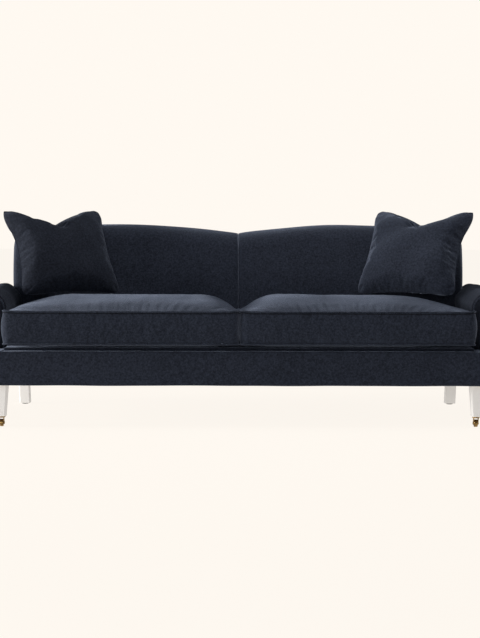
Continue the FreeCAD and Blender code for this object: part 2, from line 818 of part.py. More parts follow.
# ---------------------------------------------------------------- write every node
def write(node, shape):
    solids = shape.Solids
    if not solids or not shape.isValid():
        raise ValueError(node + " is not a sound solid")
    out = solids[0] if len(solids) == 1 else Part.makeCompound(solids)
    out.exportStep("parts/" + node + ".step")


def write_pair(name, shape):
    write(name + "_right", shape)
    write(name + "_left", mirrored(shape))


os.makedirs("parts", exist_ok=True)

write("front_seat_rail", cross_rail(front_rail_d))
write("rear_seat_rail", cross_rail(rear_rail_d))
write("seat_stretchers", seat_stretchers())
write("corner_blocks", both(corner_block(True), corner_block(False)))
write("corner_block_screws", corner_screws())
write("rail_dowels", rail_dowels())
write("back_centre_post", back_centre_post())
write("crest_rail", crest_rail())
write("tuck_rails", tuck_rails())
write("seat_springs", seat_springs())
write("spring_clips", spring_clips())
write("spring_tie_wires", spring_tie_wires())
write("back_webbing", back_webbing())
write("spring_insulator", deck_sheet(insulator_z, deck_z))
write("deck_pad", deck_sheet(deck_z, deck_top))
write("front_border", front_border())
write("outside_back_panel", outside_back_panel())
write("dust_cover", dust_cover())
write("leg_bolts", both(leg_bolt(True), leg_bolt(False)))
write("leg_nuts", both(leg_nut(True), leg_nut(False)))
write("rear_leg_glides", both(rear_leg_glide()))
write("caster_sockets", both(caster_socket()))

write_pair("side_seat_rail", side_seat_rail())
write_pair("arm_front_post", arm_front_post())
write_pair("arm_top_rail", arm_top_rail())
write_pair("back_post", back_post())
write_pair("outside_arm_panel", outside_arm_panel())
write_pair("arm_pad", arm_pad())
write_pair("arm_front_panel", arm_front_panel())
write_pair("back_pad", back_pad())
write_pair("seat_cushion", seat_cushion())
write_pair("seat_core", seat_core())
write_pair("seat_zip", seat_zip())
write_pair("seat_zip_slider", seat_zip_slider())
write_pair("throw_pillow", throw_pillow())
write_pair("pillow_insert", pillow_insert())
write_pair("front_leg", front_leg())
write_pair("rear_leg", rear_leg_piece())
write_pair("caster_fork", caster_fork())
write_pair("caster_axle", caster_axle())
write_pair("caster_wheel", caster_wheel())

print("overall", 2 * half_width, "x", round(total_depth, 1), "x back", back_height)
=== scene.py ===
# %% [markdown]
# # A two-cushion sofa with rolled arms
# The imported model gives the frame: where each part is, how big it is and what it moves with.
# Here every soft part gets its real shape and every surface its finish. A cover is a surface worked
# out with numpy, so that its seams are rows of points that a welt can follow.

# %% Load the frame
import json
import math
import bpy
import numpy as np
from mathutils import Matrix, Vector


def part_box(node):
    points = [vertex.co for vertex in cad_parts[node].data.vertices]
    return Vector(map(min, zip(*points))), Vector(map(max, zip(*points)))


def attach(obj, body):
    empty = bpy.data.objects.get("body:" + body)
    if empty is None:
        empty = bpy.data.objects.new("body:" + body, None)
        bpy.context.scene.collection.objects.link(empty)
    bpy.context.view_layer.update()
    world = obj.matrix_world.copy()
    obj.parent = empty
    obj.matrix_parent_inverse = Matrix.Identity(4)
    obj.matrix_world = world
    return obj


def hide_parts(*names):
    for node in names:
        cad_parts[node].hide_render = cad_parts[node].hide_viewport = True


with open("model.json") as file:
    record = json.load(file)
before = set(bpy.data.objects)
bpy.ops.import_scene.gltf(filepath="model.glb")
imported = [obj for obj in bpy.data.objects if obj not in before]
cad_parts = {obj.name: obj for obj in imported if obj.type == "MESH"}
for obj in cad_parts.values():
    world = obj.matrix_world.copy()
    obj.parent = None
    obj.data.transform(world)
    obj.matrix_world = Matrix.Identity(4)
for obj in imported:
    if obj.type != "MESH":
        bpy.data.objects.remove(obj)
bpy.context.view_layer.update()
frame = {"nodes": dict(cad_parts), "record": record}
scene = bpy.context.scene

# %% [markdown]
# ## Camera
# A long lens, far back and level with the top of the pillows, keeps the front almost flat, as in a
# catalogue view. The camera is aimed a little down, so the sofa sits a little above the middle of a
# tall frame and its arms run out of it at both sides.

# %% Camera
CAMERA_BACK = 6.3            # metres in front of the cushions
CAMERA_HEIGHT = 0.857
CAMERA_SIDE = -0.05
LENS = 90.5                  # millimetres, on a 36 mm long side
AIM_DOWN = math.radians(3.826)
AIM_RIGHT = math.radians(0.4655)
ROLL = math.radians(0.15)    # the right side a touch lower


def box(node):
    """Lowest and highest corner of a model part, as two arrays in metres."""
    low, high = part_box(node)
    return np.array(low), np.array(high)


cushion_front = box("seat_cushion_left")[0][1]
camera = bpy.data.objects.new("camera", bpy.data.cameras.new("camera"))
scene.collection.objects.link(camera)
camera.location = (CAMERA_SIDE, cushion_front - CAMERA_BACK, CAMERA_HEIGHT)
camera.rotation_euler = (math.pi / 2 - AIM_DOWN, -ROLL, -AIM_RIGHT)
camera.data.lens = LENS
camera.data.sensor_width = 36.0
scene.camera = camera
print("camera at", tuple(round(c, 3) for c in camera.location))

# %% [markdown]
# ## Tools for cloth-covered shapes
# An upholstered part starts as the skin of a cube cut into cells, because its edges and faces can
# be told apart by their place in the cube. A formula then moves every point at once. Meshes are
# made from arrays, so a shape of ten thousand points takes a few milliseconds.

# %% Surface tools
def cube_skin(nx, ny, nz):
    """The skin of a cube from -1 to 1, cut into nx by ny by nz cells: its points, its outward
    quads, and the number of each point by its place in the lattice."""
    ids = np.full((nx + 1, ny + 1, nz + 1), -1)
    i, j, k = np.indices(ids.shape)
    skin = (i == 0) | (i == nx) | (j == 0) | (j == ny) | (k == 0) | (k == nz)
    ids[skin] = np.arange(skin.sum())
    points = np.stack([2 * i / nx - 1, 2 * j / ny - 1, 2 * k / nz - 1], -1)[skin]
    sides = ((ids[0], True), (ids[-1], False), (ids[:, 0], False), (ids[:, -1], True),
             (ids[:, :, 0], True), (ids[:, :, -1], False))
    quads = []
    for side, turned in sides:
        quad = np.stack([side[:-1, :-1], side[1:, :-1], side[1:, 1:], side[:-1, 1:]], -1).reshape(-1, 4)
        quads.append(quad[:, ::-1] if turned else quad)
    return points, np.concatenate(quads), ids


def crowd(values, low, high, round_low, round_high, share=0.22):
    """Spreads values from -1..1 over low..high, with a share of them in each rounded end."""
    return np.interp(values, [-1, -1 + share, 1 - share, 1],
                     [low, low + max(round_low, 1e-4), high - max(round_high, 1e-4), high])


def rounded(points, low, high, round_low, round_high):
    """Rounds a box: a point in a corner zone keeps its depth in it, measured along the furthest
    axis, but is turned onto an ellipse round the zone's inner corner."""
    low, high = np.asarray(low, float), np.asarray(high, float)
    round_low, round_high = np.asarray(round_low, float), np.asarray(round_high, float)
    core = np.clip(points, low + round_low, high - round_high)
    off = points - core
    size = np.where(off < 0, round_low, round_high)
    part = np.divide(off, size, out=np.zeros_like(off), where=size > 0)
    length = np.linalg.norm(part, axis=-1, keepdims=True)
    reach = np.abs(part).max(-1, keepdims=True)
    return core + off * np.divide(reach, length, out=np.ones_like(length), where=length > 0)


def normals_of(points, quads):
    """Unit normals at the points: the sum of the cross products of each quad's diagonals."""
    cross = np.cross(points[quads[:, 2]] - points[quads[:, 0]], points[quads[:, 3]] - points[quads[:, 1]])
    total = np.zeros_like(points)
    for corner in range(4):
        np.add.at(total, quads[:, corner], cross)
    return total / np.maximum(np.linalg.norm(total, axis=1, keepdims=True), 1e-12)


def ripple(points, size, seed, waves=7):
    """Gentle unevenness between about -1 and 1: sine waves of about one length in seeded directions."""
    rng = np.random.default_rng(seed)
    ways = rng.normal(size=(waves, 3))
    lengths = size * rng.uniform(0.7, 1.5, (waves, 1))
    ways *= 2 * math.pi / (lengths * np.linalg.norm(ways, axis=1, keepdims=True))
    return np.sin(points @ ways.T + rng.uniform(0, 2 * math.pi, waves)).sum(1) / math.sqrt(waves)


def smooth_step(value, start, end):
    """0 before start, 1 after end, and an S curve between them."""
    t = np.clip((value - start) / (end - start), 0, 1)
    return t * t * (3 - 2 * t)


def sheet_quads(rows, columns, wrap=False):
    """Quads of a grid of points with that many rows and columns; wrap joins the last row to the first."""
    ids = np.arange(rows * columns).reshape(rows, columns)
    if wrap:
        ids = np.concatenate([ids, ids[:1]])
    return np.stack([ids[:-1, :-1], ids[1:, :-1], ids[1:, 1:], ids[:-1, 1:]], -1).reshape(-1, 4)


def metre_uv(mesh):
    """A UV map in metres: each face is laid out along the two axes that it faces least."""
    count = len(mesh.loops)
    corner_vertex = np.empty(count, int)
    mesh.loops.foreach_get("vertex_index", corner_vertex)
    place = np.empty(len(mesh.vertices) * 3)
    mesh.vertices.foreach_get("co", place)
    place = place.reshape(-1, 3)
    normal = np.empty(len(mesh.polygons) * 3)
    mesh.polygons.foreach_get("normal", normal)
    sides = np.empty(len(mesh.polygons), int)
    mesh.polygons.foreach_get("loop_total", sides)
    major = np.repeat(np.abs(normal.reshape(-1, 3)).argmax(1), sides)
    first = np.array([1, 0, 0])[major]
    second = np.array([2, 2, 1])[major]
    rows = np.arange(count)
    spots = place[corner_vertex]
    layout = mesh.uv_layers.new(name="metres")
    layout.data.foreach_set("uv", np.stack([spots[rows, first], spots[rows, second]], 1).ravel())


def make_piece(name, points, quads):
    """A mesh object from points and quads; points in one place are merged, so poles and seams close."""
    spots, back = np.unique(np.round(points, 6), axis=0, return_inverse=True)
    quads = back.reshape(-1)[quads]
    faces = []
    for quad in quads.tolist():
        face = list(dict.fromkeys(quad))
        if len(face) > 2:
            faces.append(face)
    mesh = bpy.data.meshes.new(name)
    mesh.from_pydata(spots.tolist(), [], faces)
    mesh.polygons.foreach_set("use_smooth", np.ones(len(mesh.polygons), bool))
    mesh.update()
    metre_uv(mesh)
    piece = bpy.data.objects.new(name, mesh)
    scene.collection.objects.link(piece)
    return piece


def soften(piece):
    """Subdivides a cover once, in the viewport and in renders."""
    smooth = piece.modifiers.new("smooth", "SUBSURF")
    smooth.levels = smooth.render_levels = 1


def welt_points(path, radius, up, closed=True, sides=10):
    """A round cord in a fold of cloth, along a path: circles of a radius square to the path."""
    path = np.asarray(path, float)
    if closed:
        way = np.roll(path, -1, 0) - np.roll(path, 1, 0)
    else:
        way = np.gradient(path, axis=0)
    way /= np.linalg.norm(way, axis=1, keepdims=True)
    side = np.cross(way, up)
    side /= np.linalg.norm(side, axis=1, keepdims=True)
    over = np.cross(side, way)
    turn = np.linspace(0, 2 * math.pi, sides + 1)
    ring = path[:, None] + radius * (np.cos(turn)[None, :, None] * side[:, None]
                                     + np.sin(turn)[None, :, None] * over[:, None])
    if not closed:
        ends = [np.repeat(path[i][None, None], sides + 1, 1) for i in (0, -1)]
        ring = np.concatenate([ends[0], ring, ends[1]])
    quads = sheet_quads(len(ring), sides + 1, wrap=closed)
    return ring.reshape(-1, 3), quads


def on_side(sign, points, quads):
    """A shape of the right side, or with sign -1 its mirror image, with its faces still outwards."""
    return (points, quads) if sign > 0 else (points * np.array([-1, 1, 1]), quads[:, ::-1])


print("cube skin of 4 x 3 x 2 cells has", len(cube_skin(4, 3, 2)[0]), "points")

# %% [markdown]
# ## Filling
# The first shape of a cushion is a formula, and real cloth is a little larger than its filling. A
# short cloth simulation with air pressure inside, no weight and the seams held lets the spare cloth
# find its own puckers. The movement is capped, so a cover keeps its place and its size.

# %% Filling a cover
def stuffed(points, quads, held, pressure=4.0, spare=0.0, cap=0.008, frames=20, stiff=15.0):
    """The points after the filling has pushed the cloth. Held points stay; spare is the share by
    which the cloth is larger than its shape; a point moves by at most cap metres."""
    mesh = bpy.data.meshes.new("sewing")
    mesh.from_pydata(points.tolist(), [], quads.tolist())
    bag = bpy.data.objects.new("sewing", mesh)
    scene.collection.objects.link(bag)
    bag.vertex_groups.new(name="held").add(np.flatnonzero(held).tolist(), 1.0, "REPLACE")
    cloth = bag.modifiers.new("cloth", "CLOTH")
    rules = cloth.settings
    rules.quality = 5
    rules.mass = 0.25
    rules.tension_stiffness = rules.compression_stiffness = stiff
    rules.shear_stiffness = 5.0
    rules.bending_stiffness = 0.4
    rules.air_damping = 6.0
    rules.use_pressure = True
    rules.uniform_pressure_force = pressure
    rules.vertex_group_mass = "held"
    rules.shrink_min = -spare
    rules.effector_weights.gravity = 0.0
    cloth.point_cache.frame_start, cloth.point_cache.frame_end = 1, frames
    for frame_number in range(1, frames + 1):
        scene.frame_set(frame_number)
    result = bag.evaluated_get(bpy.context.evaluated_depsgraph_get()).data
    after = np.empty(len(points) * 3)
    result.vertices.foreach_get("co", after)
    scene.frame_set(1)
    bpy.data.objects.remove(bag)
    bpy.data.meshes.remove(mesh)
    step = after.reshape(-1, 3) - points
    length = np.linalg.norm(step, axis=1, keepdims=True)
    furthest = round(float(length.max()) * 1000, 1)
    print("filling moved the cloth by up to", furthest, "mm, capped at", cap * 1000)
    return points + step * np.minimum(1, cap / np.maximum(length, 1e-9))


print("simulation", "on")

# %% [markdown]
# ## Cloth
# The cover is a dark navy cloth with a short nap: threads a little over a millimetre apart, a
# heathered mix of darker and lighter yarn, and a nap that brushes lighter and darker over
# hand-sized patches. The effect is one node group, because the covers, the welts and the deck
# share it. The nap's pale edge is the shader's own sheen. Two darker copies of the same cloth, with
# less sheen, are painted shade: one on the arms and on a cord below each seat cushion's upper welt, one on
# the left pillow.

# %% Cloth node group
def node_group(name, inputs, outputs):
    """An empty shader group with named sockets: (name, kind, value) in, (name, kind) out."""
    tree = bpy.data.node_groups.new(name, "ShaderNodeTree")
    for label, kind, value in inputs:
        socket = tree.interface.new_socket(label, in_out="INPUT", socket_type=kind)
        if value is not None:
            socket.default_value = value
    for label, kind in outputs:
        tree.interface.new_socket(label, in_out="OUTPUT", socket_type=kind)
    start = tree.nodes.new("NodeGroupInput")
    end = tree.nodes.new("NodeGroupOutput")
    return tree, start, end


def feed(tree, node, sources):
    """Links each source to the node's input of that name or number, or sets it as a value."""
    for key, source in sources.items():
        if isinstance(source, bpy.types.NodeSocket):
            tree.links.new(source, node.inputs[key])
        else:
            node.inputs[key].default_value = source


def add(tree, kind, sources=None, **values):
    """Adds a node, sets its properties and feeds its inputs."""
    node = tree.nodes.new(kind)
    for key, value in values.items():
        setattr(node, key, value)
    feed(tree, node, sources or {})
    return node


def math_node(tree, operation, *terms, clamp=False):
    return add(tree, "ShaderNodeMath", dict(enumerate(terms)), operation=operation,
               use_clamp=clamp).outputs[0]


def weighted(tree, first, first_share, second, second_share):
    """The sum of two values, each times its share."""
    return math_node(tree, "ADD", math_node(tree, "MULTIPLY", first, first_share),
                     math_node(tree, "MULTIPLY", second, second_share))


def blend_colours(tree, amount, first, second):
    return add(tree, "ShaderNodeMix", {0: amount, 6: first, 7: second}, data_type="RGBA").outputs[2]


def noise(tree, place, scale, detail=2.0, rough=0.5):
    return add(tree, "ShaderNodeTexNoise", {"Vector": place, "Scale": scale, "Detail": detail,
                                            "Roughness": rough}).outputs[0]


def spread(tree, value, low, high, start=0.0, end=1.0):
    """The value's range start to end, laid over low to high."""
    return add(tree, "ShaderNodeMapRange", {"Value": value, "From Min": start, "From Max": end,
                                            "To Min": low, "To Max": high}).outputs[0]


def relief(tree, height, strength, distance):
    """Bumps of a height, as a normal."""
    return add(tree, "ShaderNodeBump", {"Height": height, "Strength": strength,
                                        "Distance": distance}).outputs[0]


def cloth_group():
    """Threads are two crossed sine bands; the yarn mix and the nap are noises of rising size."""
    tree, start, end = node_group(
        "napped_cloth",
        [("Metres", "NodeSocketVector", None), ("Place", "NodeSocketVector", None),
         ("Dark", "NodeSocketColor", (0.010, 0.012, 0.019, 1)),
         ("Light", "NodeSocketColor", (0.03, 0.036, 0.05, 1)),
         ("Thread", "NodeSocketFloat", 0.0012), ("Nap", "NodeSocketFloat", 0.35)],
        [("Color", "NodeSocketColor"), ("Roughness", "NodeSocketFloat"), ("Height", "NodeSocketFloat")])
    given = start.outputs
    place = given["Place"]
    per_metre = math_node(tree, "DIVIDE", 2 * math.pi, given["Thread"])
    drift = add(tree, "ShaderNodeTexNoise", {"Vector": place, "Scale": 90.0}).outputs[1]
    drift = add(tree, "ShaderNodeVectorMath", {0: drift, 1: (0.0012, 0.0012, 0.0)},
                operation="MULTIPLY").outputs[0]
    bent = add(tree, "ShaderNodeVectorMath", {0: given["Metres"], 1: drift}, operation="ADD").outputs[0]
    split = add(tree, "ShaderNodeSeparateXYZ", {0: bent}).outputs
    warp, weft = (math_node(tree, "SINE", math_node(tree, "MULTIPLY", split[axis], per_metre))
                  for axis in (0, 1))
    threads = math_node(tree, "MULTIPLY_ADD", math_node(tree, "MULTIPLY", warp, weft), 0.5, 0.5)
    yarn = noise(tree, place, 420.0, 3.0, 0.65)
    heather = noise(tree, place, 130.0, 3.0, 0.6)
    patches = noise(tree, place, 7.0)
    mix = spread(tree, weighted(tree, yarn, 0.45, heather, 0.55), 0.0, 1.0, 0.38, 0.62)
    nap = math_node(tree, "MULTIPLY", math_node(tree, "SUBTRACT", patches, 0.5), given["Nap"])
    mix = weighted(tree, math_node(tree, "ADD", mix, nap, clamp=True), 0.85, threads, 0.15)
    feed(tree, end, {"Color": blend_colours(tree, mix, given["Dark"], given["Light"]),
                     "Roughness": spread(tree, mix, 0.96, 0.82),
                     "Height": weighted(tree, threads, 0.6, yarn, 0.4)})
    return tree


CLOTH = cloth_group()


def material(name):
    """A new material and its nodes: the tree, the Principled shader, and where the surface is."""
    new = bpy.data.materials.new(name)
    new.use_nodes = True
    tree = new.node_tree
    shader = tree.nodes["Principled BSDF"]
    place = tree.nodes.new("ShaderNodeTexCoord").outputs["Object"]
    return new, tree, shader, place


def cloth_material(name, dark, light, thread=0.0012, nap=0.35, sheen=0.55, bump=0.0004, uv=True):
    """Cloth from the group, with the sheen and bump set on the material itself."""
    new, tree, shader, place = material(name)
    metres = add(tree, "ShaderNodeUVMap", uv_map="metres").outputs[0] if uv else place
    cloth = add(tree, "ShaderNodeGroup", node_tree=CLOTH)
    feed(tree, cloth, {"Metres": metres, "Place": place, "Dark": (*dark, 1), "Light": (*light, 1),
                       "Thread": thread, "Nap": nap})
    feed(tree, shader, {"Base Color": cloth.outputs["Color"], "Roughness": cloth.outputs["Roughness"],
                        "Normal": relief(tree, cloth.outputs["Height"], 0.6, bump),
                        "Sheen Weight": sheen, "Sheen Roughness": 0.45,
                        "Sheen Tint": (0.55, 0.64, 0.85, 1), "Specular IOR Level": 0.15})
    return new


def plain_cloth(name, dark, light, thread, sheen, bump):
    """A flat cloth with little nap, for pieces that need no thread direction."""
    return cloth_material(name, dark, light, thread, 0.1, sheen, bump, uv=False)


navy = cloth_material("navy_cloth", (0.0030, 0.0042, 0.0082), (0.0215, 0.0275, 0.0450), sheen=0.38)
# A darker copy of the cloth with little sheen, painted shade: on the arm covers, the arm facings and the cord
# below each seat cushion's upper welt.
deep_shade_navy = cloth_material("navy_cloth_painted_deep_shade", (0.0016, 0.0022, 0.0045), (0.0110, 0.0142, 0.0240),
                          sheen=0.10)
# A darker copy of the cloth with less sheen: painted shade on the left pillow's cover and seam.
shaded_navy = cloth_material("navy_cloth_painted_half_shade", (0.0020, 0.0028, 0.0056), (0.0140, 0.0180, 0.0300),
                             sheen=0.20)
pillow_navy = {"left": shaded_navy, "right": navy}
lining = plain_cloth("black_lining", (0.006, 0.006, 0.007), (0.016, 0.016, 0.017), 0.0006, 0.2, 0.0002)
ticking = plain_cloth("cream_ticking", (0.55, 0.52, 0.45), (0.78, 0.75, 0.68), 0.0007, 0.2, 0.0002)
strap = plain_cloth("jute_strap", (0.22, 0.16, 0.09), (0.48, 0.39, 0.26), 0.003, 0.1, 0.0008)
tape = plain_cloth("zip_tape_cloth", (0.008, 0.010, 0.016), (0.02, 0.024, 0.036), 0.0008, 0.2, 0.0002)
print("cloth group has", len(CLOTH.nodes), "nodes")

# %% [markdown]
# ## Paint, wood, foam and metal
# The legs are painted white: a satin coat that shows the brush and a little of the grain. The
# casters are brass gone brown, brighter where it is rubbed. Inside are sawn beech, foam and steel,
# which show when a cushion is lifted or the sofa is taken apart.

# %% Hard finishes
def painted_wood():
    """Satin white, brushed along the leg, with faint clouds."""
    new, tree, shader, place = material("white_paint")
    along = add(tree, "ShaderNodeMapping", {"Vector": place, "Scale": (1.0, 1.0, 0.06)}).outputs[0]
    grain = noise(tree, along, 260.0, 4.0, 0.6)
    clouds = noise(tree, place, 22.0, 3.0)
    feed(tree, shader, {
        "Base Color": blend_colours(tree, clouds, (0.83, 0.815, 0.80, 1), (0.88, 0.87, 0.858, 1)),
        "Roughness": spread(tree, grain, 0.30, 0.48), "Coat Weight": 0.15,
        "Normal": relief(tree, grain, 0.35, 0.0004)})
    return new


def sawn_wood():
    """Beech: rings drawn out along the board, and flecks."""
    new, tree, shader, place = material("sawn_beech")
    along = add(tree, "ShaderNodeMapping", {"Vector": place, "Scale": (0.08, 1.0, 1.0)}).outputs[0]
    mix = weighted(tree, noise(tree, along, 60.0, 5.0, 0.6), 0.75, noise(tree, along, 400.0), 0.25)
    feed(tree, shader, {
        "Base Color": blend_colours(tree, mix, (0.36, 0.22, 0.115, 1), (0.66, 0.48, 0.30, 1)),
        "Normal": relief(tree, mix, 0.5, 0.0006), "Roughness": 0.65})
    return new


def aged_metal(name, deep, worn, rough):
    """Metal with brown patches in its low spots and rubbed metal on the rest."""
    new, tree, shader, place = material(name)
    mask = spread(tree, noise(tree, place, 160.0, 5.0, 0.6), 0.0, 1.0, 0.36, 0.62)
    feed(tree, shader, {
        "Base Color": blend_colours(tree, mask, (*deep, 1), (*worn, 1)), "Metallic": 1.0,
        "Roughness": spread(tree, mask, rough + 0.2, rough),
        "Normal": relief(tree, noise(tree, place, 960.0), 0.2, 0.0002)})
    return new


def foam():
    """Cells under two millimetres across."""
    new, tree, shader, place = material("seat_foam")
    cells = add(tree, "ShaderNodeTexVoronoi", {"Vector": place, "Scale": 600.0}).outputs[0]
    feed(tree, shader, {
        "Base Color": blend_colours(tree, cells, (0.60, 0.53, 0.36, 1), (0.80, 0.74, 0.57, 1)),
        "Normal": relief(tree, cells, 0.5, 0.0008), "Roughness": 0.95})
    return new


def glide_plastic():
    """Black, duller where it is scuffed."""
    new, tree, shader, place = material("glide_plastic")
    scuffs = noise(tree, place, 300.0, 4.0)
    feed(tree, shader, {
        "Base Color": blend_colours(tree, scuffs, (0.02, 0.02, 0.02, 1), (0.05, 0.05, 0.05, 1)),
        "Roughness": spread(tree, scuffs, 0.35, 0.6)})
    return new


finishes = {
    "frame_wood": sawn_wood(), "painted_leg": painted_wood(), "webbing": strap, "lining": lining,
    "spring_steel": aged_metal("spring_steel", (0.10, 0.10, 0.10), (0.38, 0.38, 0.39), 0.38),
    "upholstery": navy, "foam": foam(), "pillow_fill": ticking, "zip_tape": tape,
    "zip_metal": aged_metal("dark_enamel", (0.02, 0.022, 0.03), (0.06, 0.065, 0.085), 0.3),
    "glide": glide_plastic(),
    "caster_brass": aged_metal("antique_brass", (0.10, 0.055, 0.022), (0.42, 0.27, 0.10), 0.26),
}
slot_of = {part["node"]: part["material_slot"] for part in frame["record"]["subparts"]}
for node, part in frame["nodes"].items():
    part.data.materials.clear()
    part.data.materials.append(finishes[slot_of[node]])
print(len(slot_of), "model parts have their finish")


def finish_piece(piece, body, slot, *nodes, look=None):
    """Gives a piece its material, the look if one is given or else its slot's finish, puts it on its body,
    and hides the model parts that it stands for.
    """
    piece.data.materials.clear()
    piece.data.materials.append(look or finishes[slot])
    if nodes:
        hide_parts(*nodes)
    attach(piece, body)
    print(piece.name, len(piece.data.vertices), "points")
    return piece


SIDES = (("left", -1), ("right", 1))
UP, FORWARD = np.array([0, 0, 1.0]), np.array([0, 1.0, 0])

# %% [markdown]
# ## Seat cushions
# Each seat cushion is a sewn box: a top and a bottom panel joined by a border, with a welt in both
# seams. The filling pushes the panels into a crown and the border out between the seams, while the
# seams hold. The crown rises fast near the seam and is flat in the middle, a high power of the
# distance from the centre. The border is a shallow arc between the two welts.

# %% Seat cushions
LOW_SEAM = 0.335
TOP_SEAM = 0.462
BORDER_SWELL = 0.007
WELT = 0.0030
SHADE_CORD_RADIUS = 0.0024               # radius of a dark cord below the upper welt: painted shade for the shadow under the welt
CUSHION_CORNER = 0.022
INNER_SHOULDER = 0.165       # metres from the seam in the middle of the sofa to the flat of the crown
OUTER_SHOULDER = {"left": 0.27, "right": 0.36}   # the same on the arm's side
SIDE_SAG = 0.024             # how far the side seams drop behind the front corners
PILLOW_DENT = 0.009
DENT_AT = (0.705, 0.015)      # the middle of the line on which a pillow stands
DENT_ALONG = (0.891, -0.454)  # that line's direction


def cushion_points(inset, outer_shoulder):
    """A box with round corners in plan. Its top rises by the crown's height times
    1 - (1 - t/shoulder)^2.3 of the distance t from a side seam, times 1 - |v|^2.1 from front to
    back; its border swells by half a sine between the seams, but not at the back, where the zip is."""
    low, high = box("seat_cushion_right")
    low, high = low + inset, high - inset
    seam_low, seam_high = LOW_SEAM + inset, TOP_SEAM - inset
    crown = high[2] - seam_high - 0.006
    cube, quads, ids = cube_skin(96, 62, 14)
    r = CUSHION_CORNER
    x = crowd(cube[:, 0], low[0], high[0], r, r, 0.08)
    y = crowd(cube[:, 1], low[1], high[1], r, r, 0.1)
    z = np.interp(cube[:, 2], [-1, 1], [seam_low, seam_high])
    flat = rounded(np.stack([x, y, z], 1), (low[0], low[1], -1), (high[0], high[1], 2), (r, r, 0), (r, r, 0))
    middle, half = (low + high) / 2, (high - low) / 2
    u, v = (flat[:, 0] - middle[0]) / half[0], (flat[:, 1] - middle[1]) / half[1]
    from_side = np.clip(half[0] * (1 - np.abs(u)) / np.where(u < 0, INNER_SHOULDER, outer_shoulder), 0, 1)
    dome = (1 - (1 - from_side) ** 2.3) * (1 - np.abs(v) ** 2.1)
    points = flat.copy()
    on_top, below = ids[:, :, -1].ravel(), ids[:, :, 0].ravel()
    share = (flat[:, 2] - seam_low) / (seam_high - seam_low)
    ear = 0.005 * np.exp(-((1 - np.abs(u)) * half[0] / 0.03) ** 2) * (v < 0) * np.abs(v) ** 12
    points[:, 2] += share * (ear - SIDE_SAG * (1 - from_side) ** 2.3 * smooth_step(v, -1.0, 0.35))
    points[on_top, 2] += crown * dome[on_top]
    off_x, off_y = flat[:, 0] - DENT_AT[0], flat[:, 1] - DENT_AT[1]
    foot = off_y * DENT_ALONG[0] - off_x * DENT_ALONG[1]
    along = off_x * DENT_ALONG[0] + off_y * DENT_ALONG[1]
    dent = np.exp(-(foot / 0.055) ** 2) * (1 - smooth_step(np.abs(along), 0.17, 0.27))
    points[on_top, 2] -= (PILLOW_DENT * dent)[on_top]
    points[below, 2] -= (seam_low - low[2]) * smooth_step(dome[below], 0.10, 0.55)
    swell = np.sin(math.pi * np.clip((flat[:, 2] - seam_low) / (seam_high - seam_low), 0, 1))
    front_only = np.where(v < 0, np.abs(v) ** 30, 0)
    ahead_of_arm = 1 - smooth_step(flat[:, 1], low[1] + 0.05, low[1] + 0.12)
    free_side = np.where(u > 0, 0.15 + ahead_of_arm, 0.12)
    outward = np.stack([np.sign(u) * np.abs(u) ** 40 * free_side, -front_only, 0 * u], 1)
    points += outward * (BORDER_SWELL * swell)[:, None]
    return points, quads, ids, dome


def seam_rings(ids):
    """The numbers of the points in the lower and in the upper seam, in order round the cushion."""
    rings = []
    for level in (0, -1):
        grid = ids[:, :, level]
        rings.append(np.concatenate([grid[:-1, 0], grid[-1, :-1], grid[:0:-1, -1], grid[0, :0:-1]]))
    return rings


def seat_cushion(seed, outer_shoulder):
    """The cover: filled under pressure with both seams held, then made a little uneven."""
    points, quads, ids, dome = cushion_points(0.0005, outer_shoulder)
    rings = seam_rings(ids)
    held = np.zeros(len(points), bool)
    held[np.concatenate(rings)] = True
    held[ids[:, :, 0].ravel()] = True
    held[ids[:, -1, :].ravel()] = True
    points = stuffed(points, quads, held, pressure=4.0, spare=0.008, cap=0.005)
    normals = normals_of(points, quads)
    free = smooth_step(dome, 0.02, 0.35)
    free[held] = 0
    points += normals * (0.0020 * ripple(points, 0.22, seed) * free)[:, None]
    points += normals * (0.0004 * ripple(points, 0.09, seed + 1) * free)[:, None]
    return points, quads, rings


def joined(parts):
    """Several (points, quads) shapes as one."""
    points, quads, count = [], [], 0
    for spots, faces in parts:
        points.append(spots)
        quads.append(faces + count)
        count += len(spots)
    return np.concatenate(points), np.concatenate(quads)


for side, sign in SIDES:
    body = "seat_cushion_" + side
    points, quads, rings = seat_cushion(11 if sign < 0 else 23, OUTER_SHOULDER[side])
    core, core_quads, _, _ = cushion_points(0.007, OUTER_SHOULDER[side])
    points, quads = on_side(sign, points, quads)
    cover = make_piece("seat_cushion_cover_" + side, points, quads)
    soften(cover)
    finish_piece(cover, body, "upholstery", "seat_cushion_" + side)
    outwards = normals_of(points, quads)
    cords = [welt_points(points[ring] + 0.0022 * outwards[ring], WELT, UP) for ring in rings]
    finish_piece(make_piece("seat_cushion_welts_" + side, *joined(cords)), body, "upholstery")
    # A cord of the darker cloth just below the upper welt: painted shade for the shadow under the welt.
    shade_cord = points[rings[1]] + (0, 0, -0.0062) + 0.0006 * outwards[rings[1]] * (1, 1, 0)
    finish_piece(make_piece("seat_cushion_shade_cord_" + side, *welt_points(shade_cord, SHADE_CORD_RADIUS, UP)),
                 body, "upholstery", look=deep_shade_navy)
    block = make_piece("seat_cushion_foam_" + side, *on_side(sign, core, core_quads))
    finish_piece(block, body, "foam", "seat_core_" + side)

# %% [markdown]
# ## The back
# The tight back is two stuffed halves sewn together down the middle. Seen from the front each half
# has its own low arch, so the top line makes two humps; seen from the side the face is upright to
# the cushion's height, then leans back and rolls over the top. A half is a box whose upper edges
# are rounded, then bent to those lines, and its edge at the middle is drawn into the seam.

